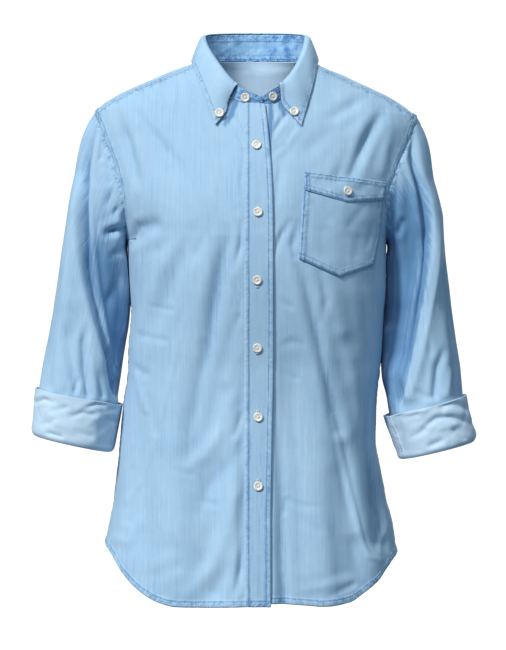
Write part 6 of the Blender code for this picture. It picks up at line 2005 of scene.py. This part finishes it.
def buttonhole(centre, up_dir, normal, length=13.0, width=2.1, slit=0.34, kind='hole'):
    """Close satin stitches round a slit."""
    up_dir, normal = unit(np.array(up_dir, float)), unit(np.array(normal, float))
    across = unit(np.cross(up_dir, normal))
    n = int(length / 0.62)
    for sgn in (-1, 1):
        for k in range(n):
            s = -length / 2 + (k + 0.5) * length / n
            a_ = centre + up_dir * s + across * sgn * slit
            b_ = centre + up_dir * s + across * sgn * (width)
            thread_jobs_hole.append(((a_ + normal * 0.18)[None], (b_ + normal * 0.12)[None], normal[None], 0.27))
    for end in (-1, 1):
        for k in range(5):
            o = (k - 2) * 0.45
            c_ = centre + up_dir * end * (length / 2 + 0.35)
            a_ = centre + up_dir * end * (length / 2 - 0.1) + across * (-width)
            b_ = centre + up_dir * end * (length / 2 - 0.1) + across * width
            sh = up_dir * end * 0.42 * k * 0.5
            thread_jobs_hole.append(((a_ + sh + normal * 0.2)[None], (b_ + sh + normal * 0.2)[None], normal[None], 0.26))


thread_jobs_hole = []


def surface_near(cl, x, z, front=True):
    """Point and normal of a built cloth nearest to x, z seen from the front."""
    P = cl.p
    d = (P[..., 0] - x) ** 2 + (P[..., 2] - z) ** 2 + (0 if not front else np.where(P[..., 1] > 0, 1e6, 0))
    r, c = np.unravel_index(np.argmin(d), d.shape)
    return P[r, c].copy(), cl.n[r, c].copy()


for i, (x, z) in enumerate(PLACKET_BUTTONS):
    _, pose = lathe_button('button_placket_%d_pearl' % (i + 1), 'button_placket_%d' % (i + 1), spin=0.25 + 0.9 * i)
    q, nn = surface_near(pl, x, z)
    buttonhole(q + nn * 0.72, (0, 0, 1), nn, length=15.0)
for nm in ('button_flap', 'button_stand_left', 'button_stand_right', 'button_collar_left', 'button_collar_right'):
    lathe_button(nm + '_pearl', nm, spin=0.4 + 0.7 * len(nm))
q, nn = surface_near(fp, FLAP_BUTTON[0], FLAP_BUTTON[1])
buttonhole(q + nn * 0.68, (0.05, 0, 1), nn, length=14.0)

# all stitches, button threads and buttonholes, each kind as one joined mesh
thread_object('stitches_pale', stitch_jobs('pale'), THREAD)
if any(s[-1] == 'blue' for s in stitch_runs):
    thread_object('stitches_blue', stitch_jobs('blue'), THREAD_BLUE)
thread_object('stitches_white', stitch_jobs('white'), THREAD_WHITE)
thread_object('button_threads', thread_jobs, THREAD_WHITE, sides=6)
thread_object('buttonholes', thread_jobs_hole, THREAD, sides=4)

# ---------------------------------------------------------------- stage
def sun(name, towards, power, colour, angle):
    """Light from a far source in the direction towards."""
    l = bpy.data.lights.new(name, 'SUN')
    l.energy, l.color, l.angle = power, colour, angle
    o = bpy.data.objects.new(name, l)
    scene.collection.objects.link(o)
    o.rotation_euler = Vector(towards).to_track_quat('Z', 'Y').to_euler()
    return o


sun('key', (-0.48, -0.60, 0.64), 2.75, (1.0, 0.975, 0.93), 0.16)
sun('front', (-0.10, -0.70, 0.70), 0.75, (1.0, 0.985, 0.96), 0.30)
# a narrow lamp that reaches the inside of the yoke through the neck
sp_l = bpy.data.lights.new('neck', 'SPOT')
sp_l.energy, sp_l.spot_size, sp_l.spot_blend, sp_l.shadow_soft_size = 33.0, radians(6.2), 0.6, 0.05
sp_l.color = (0.84, 0.93, 1.0)
sp_o = bpy.data.objects.new('neck', sp_l)
scene.collection.objects.link(sp_o)
sp_o.location = (0.02, -0.95, 0.62)
sp_o.rotation_euler = (Vector((0.004, 0.06, -0.005)) - Vector(sp_o.location)).to_track_quat('-Z', 'Y').to_euler()
sun('back', (0.15, 0.92, 0.35), 1.5, (0.97, 0.98, 1.0), 0.5)

world = bpy.data.worlds.new('studio')
scene.world = world
world.use_nodes = True
wnt = world.node_tree
bg = wnt.nodes['Background']
bg.inputs['Color'].default_value = (0.52, 0.78, 1.0, 1)
bg.inputs['Strength'].default_value = 0.25
bg2 = wnt.nodes.new('ShaderNodeBackground')
bg2.inputs['Color'].default_value = (1, 1, 1, 1)
bg2.inputs['Strength'].default_value = 1.0
lp = wnt.nodes.new('ShaderNodeLightPath')
mx = wnt.nodes.new('ShaderNodeMixShader')
wnt.links.new(lp.outputs['Is Camera Ray'], mx.inputs[0])
wnt.links.new(bg.outputs[0], mx.inputs[1])
wnt.links.new(bg2.outputs[0], mx.inputs[2])
wnt.links.new(mx.outputs[0], wnt.nodes['World Output'].inputs['Surface'])

bm = bmesh.new()
bmesh.ops.create_circle(bm, cap_ends=True, segments=96, radius=9.0)
mesh = bpy.data.meshes.new('floor')
bm.to_mesh(mesh)
bm.free()
floor = bpy.data.objects.new('floor', mesh)
floor.location = (0, 0, -1.25)
scene.collection.objects.link(floor)
fm, fnt, fb = clear_nodes('floor_pale')
fb.inputs['Base Color'].default_value = (0.93, 0.92, 0.90, 1)
fb.inputs['Roughness'].default_value = 0.9
mesh.materials.append(fm)
floor.visible_diffuse = False

cam = bpy.data.cameras.new('camera')
cam.sensor_fit = 'AUTO'
cam.sensor_width = 36.0
cam.lens = 129.8
cam.clip_end = 60.0
cam_ob = bpy.data.objects.new('camera', cam)
scene.collection.objects.link(cam_ob)
cam_ob.location = (-0.0038, -3.0, -0.326)
cam_ob.rotation_euler = (radians(90), 0, 0)
scene.camera = cam_ob
scene.view_settings.view_transform = 'Standard'
scene.view_settings.look = 'None'
scene.view_settings.exposure = 0.2
